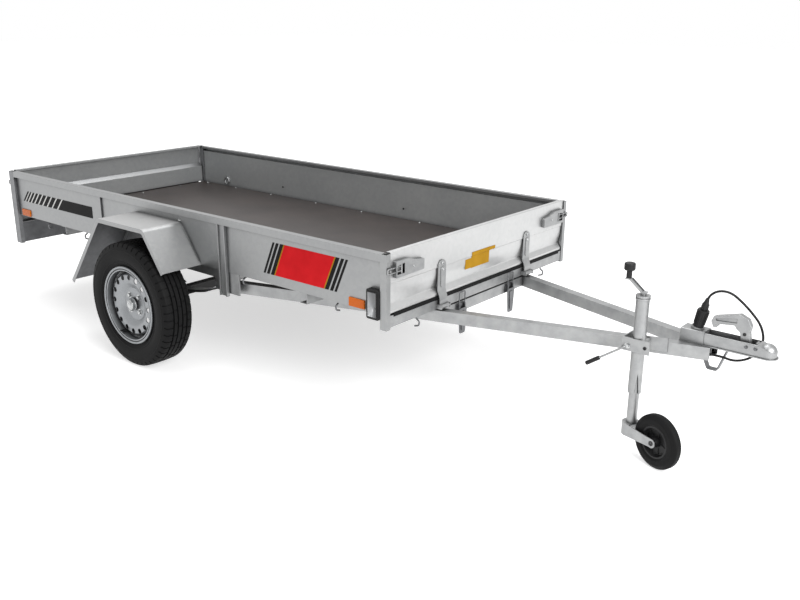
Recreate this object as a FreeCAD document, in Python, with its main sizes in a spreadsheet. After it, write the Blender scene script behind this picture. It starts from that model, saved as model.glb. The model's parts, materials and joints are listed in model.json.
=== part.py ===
# Single-axle tipping utility trailer of galvanised sheet steel, parked on its jockey wheel.
# X points forward to the coupling, Y to the left side, Z up. The ground is Z = 0, and the
# origin is on the ground under the middle of the overall length and width. Millimetres.
import FreeCAD, Part
import math
import os
import re
import Sketcher
from FreeCAD import Placement, Rotation, Vector

doc = FreeCAD.newDocument("utility_trailer")

# Driving dimensions
SIZES = (
    # Whole trailer
    ("overall_length", 3944), ("tail_overhang", 24),
    # Load bed, over its posts and rims
    ("bed_length", 2703), ("bed_width", 1316), ("rim_top", 721), ("side_bottom", 481),
    ("axle_from_rear", 1346),
    # Pressed side panels
    ("panel_gauge", 2), ("rim_height", 30), ("rim_proud", 16), ("rim_inset", 10),
    ("rim_lip", 12), ("panel_flange", 30),
    # Posts
    ("post_depth", 23), ("post_wall", 3), ("rear_post_width", 45), ("front_post_width", 32),
    ("rear_foot", 321), ("front_foot", 427), ("mid_foot", 372), ("mid_post_width", 50),
    ("mid_post_back", 15), ("mid_post_rib", 8), ("mid_post_groove", 8), ("seam_width", 20),
    ("seam_from_rear", 836),
    # Floor and the beams under it
    ("floor_thick", 9), ("floor_side_gap", 1), ("floor_end_gap", 35), ("beam_height", 46),
    ("beam_depth", 40), ("beam_wall", 3), ("beam_setback", 3), ("mid_beam_back", 11),
    ("rear_bearer", 440), ("rail_width", 50),
    # End boards and their hinges
    ("board_gauge", 2), ("board_side_gap", 5), ("board_top_rise", 5), ("board_face_back", 5),
    ("board_rim", 22), ("board_rim_lip", 12), ("crease_height", 606), ("crease_step", 3),
    ("swell_top", 570), ("groove_height", 520), ("groove_deep", 15), ("swell_bend", 150),
    ("groove_bend", 10), ("lip_top", 499), ("board_bottom", 490), ("box_top", 611), ("box_deep", 22),
    ("box_seam", 5), ("box_bottom", 497),
    ("hinge_forward", 15), ("hinge_height", 447), ("hinge_offset", 315), ("strap_width", 50),
    ("strap_thick", 5), ("strap_top", 635), ("strap_bend", 512), ("knuckle_radius", 9),
    ("strap_rib_width", 20), ("strap_rib_proud", 4), ("strap_rib_bottom", 522), ("strap_rib_top", 606),
    ("hinge_pin_radius", 5), ("running_gap", 0.05), ("ear_thick", 4), ("ear_gap", 1),
    # Board latches at the corners
    ("latch_height", 658), ("latch_start", 446), ("latch_end", 614), ("latch_low", 629),
    ("latch_high", 671), ("latch_shoulder", 46), ("latch_box", 74), ("latch_box_half", 32),
    ("latch_proud", 16), ("latch_gauge", 2.5), ("window_width", 44), ("window_half", 20),
    ("catch_radius", 5), ("catch_proud", 10), ("bail_wire", 2.5), ("bail_gap", 4),
    # Drawbar
    ("arm_top", 430), ("arm_height", 48), ("arm_width", 40), ("arm_wall", 3),
    ("pivot_forward", 412), ("pivot_side", 606), ("arm_end_back", 229), ("arm_end_side", 24),
    ("pivot_radius", 6), ("sleeve_radius", 17), ("sleeve_inner", 572), ("sleeve_outer", 633),
    ("bracket_thick", 5), ("bracket_back", 20), ("bracket_ahead", 20), ("outer_plate_ahead", 98),
    ("bracket_bottom", 384), ("bracket_gap", 1), ("bolt_head", 2),
    ("tilt_clearance", 5), ("tilt_latch_side", 183), ("tilt_latch_width", 60),
    ("tilt_latch_proud", 14), ("tilt_lever_top", 404), ("tilt_lever_bottom", 294),
    ("tilt_lever_wide", 56), ("tilt_lever_narrow", 36), ("tilt_bail_top", 473),
    # Coupling head for a 50 mm ball
    ("coupling_length", 342), ("coupling_half", 31), ("coupling_top", 476), ("coupling_wall", 4),
    ("coupling_lip", 5), ("coupling_edge", 4), ("cover_end_back", 254), ("cover_rise", 4),
    ("cover_proud", 2), ("web_height", 450), ("trough_end_back", 68), ("nose_slope_back", 66),
    ("nose_slope_low", 452), ("ball_back", 36), ("socket_radius", 25.3), ("dome_wall", 5.7),
    ("ball_height", 450), ("lever_half", 12), ("lever_pivot_back", 106), ("lever_pivot_height", 465),
    ("lever_pin_radius", 4), ("grip_recess", 4), ("lock_pin_back", 69),
    ("bar_length", 92), ("bar_width", 18), ("bar_height", 10),
    # Axle, springs and wheels
    ("wheel_radius", 289), ("tyre_width", 155), ("tyre_wall", 10), ("bead_height", 23),
    ("shoulder_radius", 20), ("shoulder_drop", 34), ("shoulder_inset", 15), ("sidewall_radius", 50),
    ("tread_bend", 10), ("wheel_side", 794.5),
    ("seat_radius", 165), ("flange_height", 16.5), ("flange_thick", 6), ("rim_half_width", 69.5),
    ("drop_depth", 17), ("drop_back", 30), ("drop_slope", 8), ("rim_sheet", 4),
    ("disc_face", 54), ("disc_seat", 20), ("bolt_face", 34),
    ("cap_reach", 67), ("hub_back", 48), ("axle_square", 40), ("spindle_radius", 15),
    ("spindle_reach", 30), ("vent_radius", 12), ("vent_count", 16),
    ("spring_side", 600), ("spring_width", 45), ("leaf_thick", 6), ("spring_reach", 345),
    ("eye_drop", 40), ("eye_radius", 14), ("spring_pin_radius", 6), ("second_leaf", 250),
    ("third_leaf", 150), ("leaf_seat", 1), ("u_bolt_radius", 5), ("u_bolt_gap", 2),
    ("clamp_plate", 6), ("clamp_edge", 14), ("beam_inset", 100),
    # Mudguards, by the corners of their folded outline
    ("guard_width", 207), ("guard_gauge", 2), ("guard_lip", 20), ("guard_top", 658),
    ("guard_rear_end", 480), ("guard_rear_height", 313), ("guard_rear_fold", 213),
    ("guard_front_fold", 134), ("guard_front_end", 261), ("guard_front_height", 482),
    ("guard_bend", 12), ("guard_slot", 4),
    # Jockey wheel
    ("jockey_back", 434), ("jockey_side", 175), ("tube_radius", 24), ("tube_wall", 2),
    ("tube_top", 618), ("tube_bottom", 245), ("collar_radius", 26.5), ("collar_height", 16),
    ("collar_groove", 3), ("notch_top", 324), ("notch_width", 18), ("notch_facing", -49),
    ("leg_radius", 19), ("leg_length", 385), ("guide_height", 20), ("slide_gap", 0.3),
    ("spigot_radius", 12), ("spigot_length", 38), ("crank_back", 60), ("crank_top", 670),
    ("crank_width", 20), ("crank_gauge", 5), ("knob_radius", 20), ("knob_neck", 10),
    ("clamp_bottom", 408), ("clamp_height", 50), ("clamp_length", 106), ("clamp_wall", 5),
    ("clamp_jaw", 14), ("foot_reach", 20), ("foot_bottom", 394), ("foot_height", 52),
    ("lever_back", 36), ("lever_reach", 11), ("lever_length", 92), ("lever_fall", 64),
    ("lever_radius", 4), ("grip_length", 62),
    ("fork_wall", 4), ("fork_gap", 60), ("fork_height", 48), ("fork_end", 17), ("fork_rise", 24),
    ("trail", 133), ("trail_angle", 20), ("jockey_wheel_radius", 102),
    ("jockey_wheel_width", 46), ("jockey_axle_radius", 6), ("jockey_hub_radius", 60),
    ("jockey_rim_wall", 6), ("jockey_web", 8), ("jockey_spokes", 6),
    # Lamps, plates and small fittings
    ("light_panel_bottom", 316), ("light_panel_gap", 19), ("light_panel_gauge", 3),
    ("tail_lamp_width", 190), ("tail_lamp_height", 84), ("tail_lamp_depth", 22), ("tail_lamp_inset", 24),
    ("lamp_corner", 8), ("lens_margin", 7), ("lens_proud", 3),
    ("lamp_rise", 8), ("plate_thick", 3), ("plate_width", 520), ("plate_height", 90),
    ("marker_width", 62), ("marker_height", 118),
    ("marker_depth", 22), ("marker_from_front", 33), ("marker_bottom", 462),
    ("reflector_width", 80), ("reflector_height", 35), ("reflector_depth", 6),
    ("reflector_bottom", 485), ("front_reflector", 119), ("rear_reflector", 77),
    ("hook_wire", 3.5), ("hook_drop", 41), ("hook_bulge", 16), ("hook_root", 16), ("hook_bend", 8),
    ("front_hook_side", 465), ("ring_radius", 20), ("ring_wire", 3.5), ("ring_height", 524),
    ("ring_from_end", 268), ("saddle_width", 16), ("saddle_deep", 10), ("saddle_height", 14),
    # Cable and its plug
    ("cable_radius", 4.5), ("plug_radius", 21), ("plug_length", 66), ("plug_neck_radius", 13),
    ("plug_neck_length", 24), ("plug_tilt", 12), ("plug_back", 290), ("plug_bottom", 488),
    ("gland_back", 14), ("gland_thick", 8), ("cable_drop", 6), ("cable_run", 48),
    ("loop_thick", 5), ("loop_width", 27), ("loop_bottom", 330),
)

# Places of the rope hooks along the bed, as shares of its length
HOOK_SHARES = (0.119, 0.248, 0.696, 0.898)

# Corners of the coupling lever's side outline: distance behind the nose, height
LEVER_OUTLINE = (
    (95, 458), (128, 458), (137, 502), (150, 510), (158, 522), (214, 515), (219, 502), (233, 500),
    (242, 521), (234, 541), (144, 566), (113, 553), (100, 529), (104, 505),
)

# Corners of the groove in its side, and the bends of the safety loop behind the nose
LEVER_GROOVE = ((150, 532), (226, 526), (226, 534), (150, 550))
LOOP_PLACES = (268, 244, 206, 172)

# Corners of the cable's route: distance behind the nose, to the left of the middle, height
CABLE_ROUTE = (
    (144, -2, 386), (96, 44, 400), (74, 72, 452), (90, 74, 512), (128, 58, 562), (162.3, 36, 601.7),
    (192.2, 20, 627.6), (222.4, 9, 633), (247.5, 2, 623.6), (265.6, 0, 602.7),
)

# Places that follow from the driving dimensions
PLACES = (
    ("tail_end", "-overall_length / 2"), ("nose_end", "overall_length / 2"),
    ("bed_rear", "tail_end + tail_overhang"), ("bed_front", "bed_rear + bed_length"),
    ("bed_middle", "bed_rear + bed_length / 2"), ("axle_place", "bed_rear + axle_from_rear"),
    ("half_width", "bed_width / 2"), ("panel_out", "half_width - rim_proud"),
    ("panel_in", "panel_out - panel_gauge"), ("post_in", "half_width - post_depth"),
    ("rim_bottom", "rim_top - rim_height"), ("beam_bottom", "side_bottom - beam_height"),
    ("floor_bottom", "side_bottom + panel_gauge"), ("floor_top", "floor_bottom + floor_thick"),
    ("floor_half", "post_in - floor_side_gap"), ("side_rear", "bed_rear + rear_post_width"),
    ("side_front", "bed_front - front_post_width"),
    ("pivot_place", "axle_place + pivot_forward"), ("mid_post_place", "pivot_place - mid_post_back"),
    ("mid_beam_place", "pivot_place - mid_beam_back"),
    ("seam_place", "bed_rear + seam_from_rear"), ("beam_face", "bed_front - beam_setback"),
    ("arm_bottom", "arm_top - arm_height"),
    ("pivot_height", "arm_top - arm_height / 2"),
    ("arm_end_place", "nose_end - arm_end_back"),
    ("board_face", "bed_front - board_face_back"),
    ("board_half", "post_in - board_side_gap"), ("board_top", "rim_top + board_top_rise"),
    ("hinge_place", "bed_front + hinge_forward"),
    ("ball_place", "nose_end - ball_back"), ("coupling_rear", "nose_end - coupling_length"),
    ("coupling_bottom", "arm_top"), ("jockey_place", "nose_end - jockey_back"),
    ("plug_place", "nose_end - plug_back"), ("leg_bottom", "jockey_wheel_radius + fork_rise + slide_gap"),
    ("eye_height", "beam_bottom - eye_drop"),
    ("drop_radius", "seat_radius - drop_depth"), ("rim_flange_radius", "seat_radius + flange_height"),
    ("vent_ring", "drop_radius - 2 * rim_sheet - vent_radius - 1"),
)

SIZE_NAMES = [name for name, _ in SIZES]
PLACE_NAMES = [name for name, _ in PLACES]


def formula(text):
    """The text as an expression, each plain name given the sheet that it is in."""
    def in_sheet(found):
        name = found.group(0)
        if name in SIZE_NAMES:
            return "sizes." + name
        if name in PLACE_NAMES:
            return "places." + name
        return name
    return re.sub(r"[a-z][a-z_]*", in_sheet, str(text))


def fill_sheet(title, rows, lead):
    """A sheet with one named cell for each row."""
    sheet = doc.addObject("Spreadsheet::Sheet", title)
    for row, (name, text) in enumerate(rows, start=1):
        sheet.set("A%d" % row, name)
        sheet.setAlias("B%d" % row, name)
        sheet.set("B%d" % row, lead + str(text))
    return sheet


sizes = fill_sheet("sizes", SIZES, "")
places = fill_sheet("places", [(name, formula(text)) for name, text in PLACES], "=")
doc.recompute()


def size(name):
    """The number in a named cell of either sheet."""
    return float((sizes if name in SIZE_NAMES else places).get(name))


NODES = {}


def node(name, part):
    """Names a finished sub-part, which is written to a file of that name."""
    part.Label = name
    NODES[name] = part
    return part


# Building blocks
def bind(part, **formulas):
    """Ties properties to the sheets. Two underscores stand for a dot."""
    for name, text in formulas.items():
        part.setExpression(name.replace("__", "."), formula(text))
    return part


def sketch_on(body, role, loops, start="0"):
    """A sketch of closed loops: lists of corners, or a circle as (across, up, radius)."""
    sketch = body.newObject("Sketcher::SketchObject", "outline")
    plane = [item for item in body.Origin.OriginFeatures if item.Role == role][0]
    sketch.AttachmentSupport = [(plane, "")]
    sketch.MapMode = "FlatFace"
    bind(sketch, AttachmentOffset__Base__z=start)
    ties, bound = [], []

    def tie(kind, element, spot, value, text):
        bound.append((len(ties), text))
        ties.append(Sketcher.Constraint(kind, -1, 1, element, spot, value))

    for loop in loops:
        first = sketch.GeometryCount
        if isinstance(loop, tuple):
            sketch.addGeometry(Part.Circle(Vector(1, 1, 0), Vector(0, 0, 1), 10))
            tie("DistanceX", first, 3, 1, loop[0])
            tie("DistanceY", first, 3, 1, loop[1])
            bound.append((len(ties), loop[2]))
            ties.append(Sketcher.Constraint("Radius", first, 10))
            continue
        count = len(loop)
        turn = 2 * math.pi / count
        corners = [Vector(90 * math.cos(turn * i), 90 * math.sin(turn * i), 0) for i in range(count)]
        sketch.addGeometry([Part.LineSegment(corners[i], corners[(i + 1) % count])
                            for i in range(count)])
        for i in range(count):
            ties.append(Sketcher.Constraint("Coincident", first + i, 2, first + (i + 1) % count, 1))
        for i, (across, up) in enumerate(loop):
            tie("DistanceX", first + i, 1, corners[i].x, across)
            tie("DistanceY", first + i, 1, corners[i].y, up)
    sketch.addConstraint(ties)
    for place, text in bound:
        sketch.setExpression("Constraints[%d]" % place, formula(text))
    return sketch


def padded(title, role, loops, length, start="0"):
    """A body with one pad of the given outline."""
    body = doc.addObject("PartDesign::Body", title)
    sketch = sketch_on(body, role, loops, start)
    pad = body.newObject("PartDesign::Pad", "pad")
    pad.Profile = sketch
    bind(pad, Length=length)
    sketch.Visibility = False
    return body


def revolved(title, loops, axis="H_Axis"):
    """A body turned about the Y axis, from an outline of (along Y, outwards) corners."""
    body = doc.addObject("PartDesign::Body", title)
    sketch = sketch_on(body, "YZ_Plane", loops)
    turned = body.newObject("PartDesign::Revolution", "turned")
    turned.Profile = sketch
    turned.ReferenceAxis = (sketch, [axis])
    turned.Angle = 360
    return body


def box(title, low, high):
    """A Part box between two corners, each given as three formulas."""
    part = doc.addObject("Part::Box", title)
    for side, name, axis in (("Length", "x", 0), ("Width", "y", 1), ("Height", "z", 2)):
        bind(part, **{side: "(%s) - (%s)" % (high[axis], low[axis]),
                      "Placement__Base__" + name: low[axis]})
    return part


def rod(title, low, radius, length, along="z"):
    """A Part cylinder from the point low, along +X, +Y or +Z."""
    part = doc.addObject("Part::Cylinder", title)
    turn = {"x": Rotation(Vector(0, 1, 0), 90), "y": Rotation(Vector(1, 0, 0), -90),
            "z": Rotation()}[along]
    part.Placement = Placement(Vector(), turn)
    bind(part, Radius=radius, Height=length, Placement__Base__x=low[0],
         Placement__Base__y=low[1], Placement__Base__z=low[2])
    return part


def fused(title, *parts):
    whole = doc.addObject("Part::MultiFuse", title)
    whole.Shapes = list(parts)
    return whole


def cut(title, base, *tools):
    """The base without the tools."""
    part = doc.addObject("Part::Cut", title)
    part.Base = base
    part.Tool = tools[0] if len(tools) == 1 else fused(title + "_tools", *tools)
    return part


def mirrored(title, source, normal=(0, 1, 0), middle=None):
    """The source's mirror image, across the middle of the trailer or of the bed."""
    part = doc.addObject("Part::Mirroring", title)
    part.Source = source
    part.Normal = Vector(*normal)
    if middle:
        bind(part, Base__x=middle)
    return part


def group(title, *parts):
    """Like pieces that don't touch, in one sub-part."""
    whole = doc.addObject("Part::Compound", title)
    whole.Links = list(parts)
    return whole


def both_sides(title, part):
    return group(title, part, mirrored(title + "_left", part))


def feature(title, shape, place=None):
    """A sub-part whose shape comes from Part's own functions."""
    part = doc.addObject("Part::Feature", title)
    part.Shape = shape
    part.Placement = place or Placement()
    return part


def path_wire(points, radii):
    """Straight runs through the points, joined by tangent arcs, as one wire."""
    edges, last = [], points[0]
    for i in range(1, len(points) - 1):
        back = (points[i - 1] - points[i]).normalize()
        ahead = (points[i + 1] - points[i]).normalize()
        turn = math.pi - back.getAngle(ahead)
        reach = radii[i - 1] * math.tan(turn / 2)
        start, end = points[i] + back * reach, points[i] + ahead * reach
        if reach < 1e-6:
            edges.append(Part.LineSegment(last, points[i]).toShape())
            last = points[i]
            continue
        inward = (back + ahead).normalize()
        middle = points[i] + inward * (radii[i - 1] / math.cos(turn / 2) - radii[i - 1])
        if (start - last).Length > 1e-6:
            edges.append(Part.LineSegment(last, start).toShape())
        edges.append(Part.Arc(start, middle, end).toShape())
        last = end
    edges.append(Part.LineSegment(last, points[-1]).toShape())
    return Part.Wire(edges)


def rounded_face(points, radius):
    """A flat face with its corners rounded, by one radius or by one for each."""
    start = (points[0] + points[-1]) * 0.5
    radii = radius if isinstance(radius, list) else [radius] * len(points)
    return Part.Face(path_wire([start] + list(points) + [start], radii))


def side_plate(points, radius, low, high):
    """A flat piece with its outline in X and Z, from one Y to another."""
    face = rounded_face([Vector(x, low, z) for x, z in points], radius)
    return face.extrude(Vector(0, high - low, 0))


def front_plate(points, radius, back, front):
    """A flat piece with its outline in Y and Z, from one X to another."""
    face = rounded_face([Vector(back, y, z) for y, z in points], radius)
    return face.extrude(Vector(front - back, 0, 0))


def softened(shape, radius, wanted):
    """The shape with the chosen edges rounded."""
    return shape.makeFillet(radius, [edge for edge in shape.Edges if wanted(edge)])


def shifted(points, gap):
    """Flat corner points (a, b) moved to the left of their run by the gap."""
    out = []
    for i, (a, b) in enumerate(points):
        sides = []
        for j in (i - 1, i):
            if 0 <= j < len(points) - 1:
                da, db = points[j + 1][0] - points[j][0], points[j + 1][1] - points[j][1]
                run = math.hypot(da, db)
                sides.append((-db / run, da / run))
        na, nb = sum(s[0] for s in sides) / len(sides), sum(s[1] for s in sides) / len(sides)
        scale = gap / (na * na + nb * nb)
        out.append((a + na * scale, b + nb * scale))
    return out


def bent_face(points, gauge, bend, lift):
    """Face of a bent sheet: its outline on one side, its gauge to the left of the run."""
    inner = shifted(points, gauge)
    bends = bend if isinstance(bend, list) else [bend] * (len(points) - 2)
    near, far = [], []
    for i in range(1, len(points) - 1):
        before = (points[i][0] - points[i - 1][0], points[i][1] - points[i - 1][1])
        after = (points[i + 1][0] - points[i][0], points[i + 1][1] - points[i][1])
        left = before[0] * after[1] - before[1] * after[0] > 0
        inside = left == (gauge > 0)
        near.append(bends[i - 1] + abs(gauge) if inside else bends[i - 1])
        far.append(bends[i - 1] if inside else bends[i - 1] + abs(gauge))
    one = path_wire([lift(*p) for p in points], near)
    two = path_wire([lift(*p) for p in inner], far)
    ends = [Part.LineSegment(lift(*points[k]), lift(*inner[k])).toShape() for k in (0, -1)]
    return Part.Face(Part.Wire(Part.__sortEdges__(one.Edges + two.Edges + ends)))


def bent_sheet(points, gauge, bend, low, high):
    """Sheet bent to an outline in X and Z, from one Y to another."""
    face = bent_face(points, gauge, bend, lambda a, b: Vector(a, low, b))
    return face.extrude(Vector(0, high - low, 0))


def wire_rod(points, radius, bend):
    """Round bar bent through the points."""
    spine = path_wire(points, [bend] * (len(points) - 2))
    start = spine.Vertexes[0].Point
    ahead = (points[1] - points[0]).normalize()
    ring = Part.Wire(Part.Circle(start, ahead, radius).toShape())
    return spine.makePipeShell([ring], True, False)


# Bed: side panels
def side_panels():
    """Pressed side with a standing-out rim along the top and a flange under the floor."""
    corners = [("-(panel_in - panel_flange)", "side_bottom"), ("-panel_out", "side_bottom"),
               ("-panel_out", "rim_bottom"), ("-half_width", "rim_bottom"),
               ("-half_width", "rim_top"), ("-(panel_in - rim_inset)", "rim_top"),
               ("-(panel_in - rim_inset)", "rim_top - rim_lip"),
               ("-(panel_in - rim_inset) - panel_gauge", "rim_top - rim_lip"),
               ("-(panel_in - rim_inset) - panel_gauge", "rim_top - panel_gauge"),
               ("-half_width + panel_gauge", "rim_top - panel_gauge"),
               ("-half_width + panel_gauge", "rim_bottom + panel_gauge"),
               ("-panel_in", "rim_bottom + panel_gauge"),
               ("-panel_in", "side_bottom + panel_gauge"),
               ("-(panel_in - panel_flange)", "side_bottom + panel_gauge")]
    right = padded("side_right", "YZ_Plane", [corners], "side_front - side_rear", "side_rear")
    node("side_panel_right", right)
    node("side_panel_left", mirrored("side_left", right))


def hollow_post(title, rear, front, foot):
    """Upright box section at a corner, open at its top."""
    outer = [(rear, "-half_width"), (front, "-half_width"), (front, "-post_in"), (rear, "-post_in")]
    inner = [("%s + post_wall" % rear, "-half_width + post_wall"),
             ("%s - post_wall" % front, "-half_width + post_wall"),
             ("%s - post_wall" % front, "-post_in - post_wall"),
             ("%s + post_wall" % rear, "-post_in - post_wall")]
    return padded(title, "XY_Plane", [outer, inner], "rim_top - %s" % foot, foot)


def posts():
    rear = hollow_post("rear_post", "bed_rear", "side_rear", "rear_foot")
    node("rear_posts", both_sides("rear_pair", rear))
    front = hollow_post("front_post", "side_front", "bed_front", "front_foot")
    button = rod("latch_catch", ("bed_front", "-(half_width - post_depth / 2)", "latch_height"),
                 "catch_radius", "catch_proud", "x")
    node("front_posts", both_sides("front_pair", fused("front_post_catch", front, button)))
    left, right = "mid_post_place", "mid_post_place + mid_post_width"
    ribbed = [(left, "-panel_out"), (left, "-half_width"), (left + " + mid_post_rib", "-half_width"),
              (left + " + mid_post_rib", "-half_width + mid_post_groove"),
              (right + " - mid_post_rib", "-half_width + mid_post_groove"),
              (right + " - mid_post_rib", "-half_width"), (right, "-half_width"),
              (right, "-panel_out")]
    middle = padded("mid_post", "XY_Plane", [ribbed], "rim_bottom - mid_foot", "mid_foot")
    seam = box("seam_cover", ("seam_place", "-half_width + mid_post_groove", "side_bottom"),
               ("seam_place + seam_width", "-panel_out", "rim_bottom"))
    pair = group("mid_pair", middle, seam, mirrored("mid_left", middle), mirrored("seam_left", seam))
    node("mid_posts", pair)


def floor():
    board = box("floor_board", ("bed_rear + floor_end_gap", "-floor_half", "floor_bottom"),
                ("bed_front - floor_end_gap", "floor_half", "floor_top"))
    node("bed_floor", board)


def channel(title, rear, front, half, opens_back=True):
    """Folded cross beam with its open side to the rear or to the front."""
    web, rim = (front, rear) if opens_back else (rear, front)
    sign = "-" if opens_back else "+"
    inside = "%s %s beam_wall" % (web, sign)
    corners = [(web, "side_bottom"), (web, "beam_bottom"), (rim, "beam_bottom"),
               (rim, "beam_bottom + beam_wall"), (inside, "beam_bottom + beam_wall"),
               (inside, "side_bottom - beam_wall"), (rim, "side_bottom - beam_wall"),
               (rim, "side_bottom")]
    return padded(title, "XZ_Plane", [corners], "2 * (%s)" % half, "-(%s)" % half)


def hinge_ears(title, side):
    """Two ears on the beam's face and the pin between them."""
    parts = []
    low_inner = "%s * hinge_offset - strap_width / 2 - ear_gap - ear_thick" % side
    high_inner = "%s * hinge_offset + strap_width / 2 + ear_gap" % side
    for count, start in enumerate((low_inner, high_inner)):
        parts.append(box("%s_ear_%d" % (title, count),
                         ("beam_face", start, "hinge_height - knuckle_radius"),
                         ("hinge_place + knuckle_radius", "%s + ear_thick" % start,
                          "hinge_height + knuckle_radius")))
    parts.append(rod(title + "_pin", ("hinge_place", low_inner, "hinge_height"),
                     "hinge_pin_radius", "strap_width + 2 * (ear_gap + ear_thick)", "y"))
    return parts


def end_beams():
    beam = channel("end_channel", "beam_face - beam_depth", "beam_face", "post_in")
    ears = hinge_ears("right_hinge", "-1") + hinge_ears("left_hinge", "1")
    whole = fused("end_beam", beam, *ears)
    node("rear_crossmember", mirrored("rear_beam", whole, (1, 0, 0), "bed_middle"))
    node("front_crossmember", group("front_beam", whole))


def middle_beam():
    """Cross beam that carries the drawbar's pivot brackets."""
    beam = channel("mid_channel", "mid_beam_place", "mid_beam_place + beam_depth", "panel_in")
    inner, outer = "sleeve_inner - bracket_gap", "sleeve_outer + bracket_gap"
    spans = ((inner + " - bracket_thick", inner, "bracket_ahead", "beam_bottom"),
             (outer, outer + " + bracket_thick", "outer_plate_ahead", "side_bottom"))
    plates = []
    for side in (-1, 1):
        for low, high, ahead, top in spans:
            ends = (low, high) if side > 0 else ("-(%s)" % high, "-(%s)" % low)
            plates.append(box("pivot_plate", ("pivot_place - bracket_back", ends[0], "bracket_bottom"),
                              ("pivot_place + " + ahead, ends[1], top)))
    bore = rod("pivot_bores", ("pivot_place", "-half_width", "pivot_height"),
               "pivot_radius + running_gap", "2 * half_width", "y")
    node("mid_cross_beam", cut("mid_beam", fused("mid_beam_plates", beam, *plates), bore))
    inner += " - bracket_thick"
    outer += " + bracket_thick"
    pin = rod("pivot_pin", ("pivot_place", "-(%s) - bolt_head" % outer, "pivot_height"), "pivot_radius",
              "(%s) - (%s) + 2 * bolt_head" % (outer, inner), "y")
    head = rod("pivot_head", ("pivot_place", "-(%s) + bolt_head" % inner, "pivot_height"),
               "pivot_radius * 1.8", "pivot_radius", "y")
    node("pivot_pins", both_sides("pivot_pair", fused("pivot_bolt", pin, head)))


def bearers():
    """Cross bearers under the floor, and the rails that the springs hang from."""
    rear_rail = "axle_place - rear_bearer"
    spots = ("(pivot_place + beam_face) / 2", rear_rail, "((%s) + bed_rear) / 2" % rear_rail)
    beams = [channel("bearer", spot, spot + " + beam_depth", "panel_in") for spot in spots]
    node("floor_bearers", group("bearer_set", *beams))
    start = rear_rail + " + beam_depth"
    low, high = "-spring_side - rail_width / 2", "-spring_side + rail_width / 2"
    wall, top = "beam_bottom + beam_wall", "side_bottom - beam_wall"
    outer = [(low, "beam_bottom"), (high, "beam_bottom"), (high, "side_bottom"), (low, "side_bottom")]
    inner = [(low + " + beam_wall", wall), (high + " - beam_wall", wall),
             (high + " - beam_wall", top), (low + " + beam_wall", top)]
    rail = padded("rail", "YZ_Plane", [outer, inner], "mid_beam_place - (%s)" % start, start)
    parts = [rail]
    for place in ("axle_place - spring_reach", "axle_place + spring_reach"):
        for edge in (low, high + " - bracket_thick / 2"):
            parts.append(box("hanger", (place + " - eye_radius", edge, "eye_height - eye_radius"),
                             (place + " + eye_radius", edge + " + bracket_thick / 2", wall)))
        parts.append(rod("spring_pin", (place, low, "eye_height"), "spring_pin_radius", "rail_width", "y"))
    node("spring_rails", both_sides("rail_pair", fused("rail_hangers", *parts)))


# Axle and springs
def springs():
    """Three leaves with their ends turned up to the eyes."""
    place, half = size("axle_place"), size("spring_width") / 2
    thick, reach = size("leaf_thick"), size("spring_reach")
    base = size("wheel_radius") + size("axle_square") / 2 + 2 * thick
    rise = size("eye_height") - size("eye_radius") - base
    radius = (reach ** 2 + rise ** 2) / (2 * rise)
    centre = base + radius
    low = -size("spring_side") - half
    solids = []
    for count, length in enumerate((reach, size("second_leaf"), size("third_leaf"))):
        outer = radius + count * thick
        inner = outer - thick

        def on_arc(r, share):
            angle = math.asin(length / radius) * share
            return Vector(place + r * math.sin(angle), low, centre - r * math.cos(angle))
        edges = [Part.Arc(on_arc(outer, -1), on_arc(outer, 0), on_arc(outer, 1)).toShape(),
                 Part.LineSegment(on_arc(outer, 1), on_arc(inner, 1)).toShape(),
                 Part.Arc(on_arc(inner, 1), on_arc(inner, 0), on_arc(inner, -1)).toShape(),
                 Part.LineSegment(on_arc(inner, -1), on_arc(outer, -1)).toShape()]
        solids.append(Part.Face(Part.Wire(edges)).extrude(Vector(0, 2 * half, 0)))
    for side in (-1, 1):
        middle = Vector(place + side * reach, low, size("eye_height"))
        solids.append(Part.makeCylinder(size("eye_radius"), 2 * half, middle, Vector(0, 1, 0)))
    whole = solids[0].multiFuse(solids[1:])
    for side in (-1, 1):
        middle = Vector(place + side * reach, low - 1, size("eye_height"))
        bore = size("spring_pin_radius") + size("running_gap")
        whole = whole.cut(Part.makeCylinder(bore, 2 * half + 2, middle, Vector(0, 1, 0)))
    right = feature("spring_right", whole.removeSplitter())
    node("leaf_springs", both_sides("spring_pair", right))
    spring_clamps()
    beam_end = "wheel_side - beam_inset"
    beam = box("axle_tube",
               ("axle_place - axle_square / 2", "-(%s)" % beam_end, "wheel_radius - axle_square / 2"),
               ("axle_place + axle_square / 2", beam_end, "wheel_radius + axle_square / 2"))
    spindle = rod("spindles", ("axle_place", "-(wheel_side + spindle_reach)", "wheel_radius"),
                  "spindle_radius", "2 * (wheel_side + spindle_reach)", "y")
    node("axle_beam", fused("axle", beam, spindle))


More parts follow.
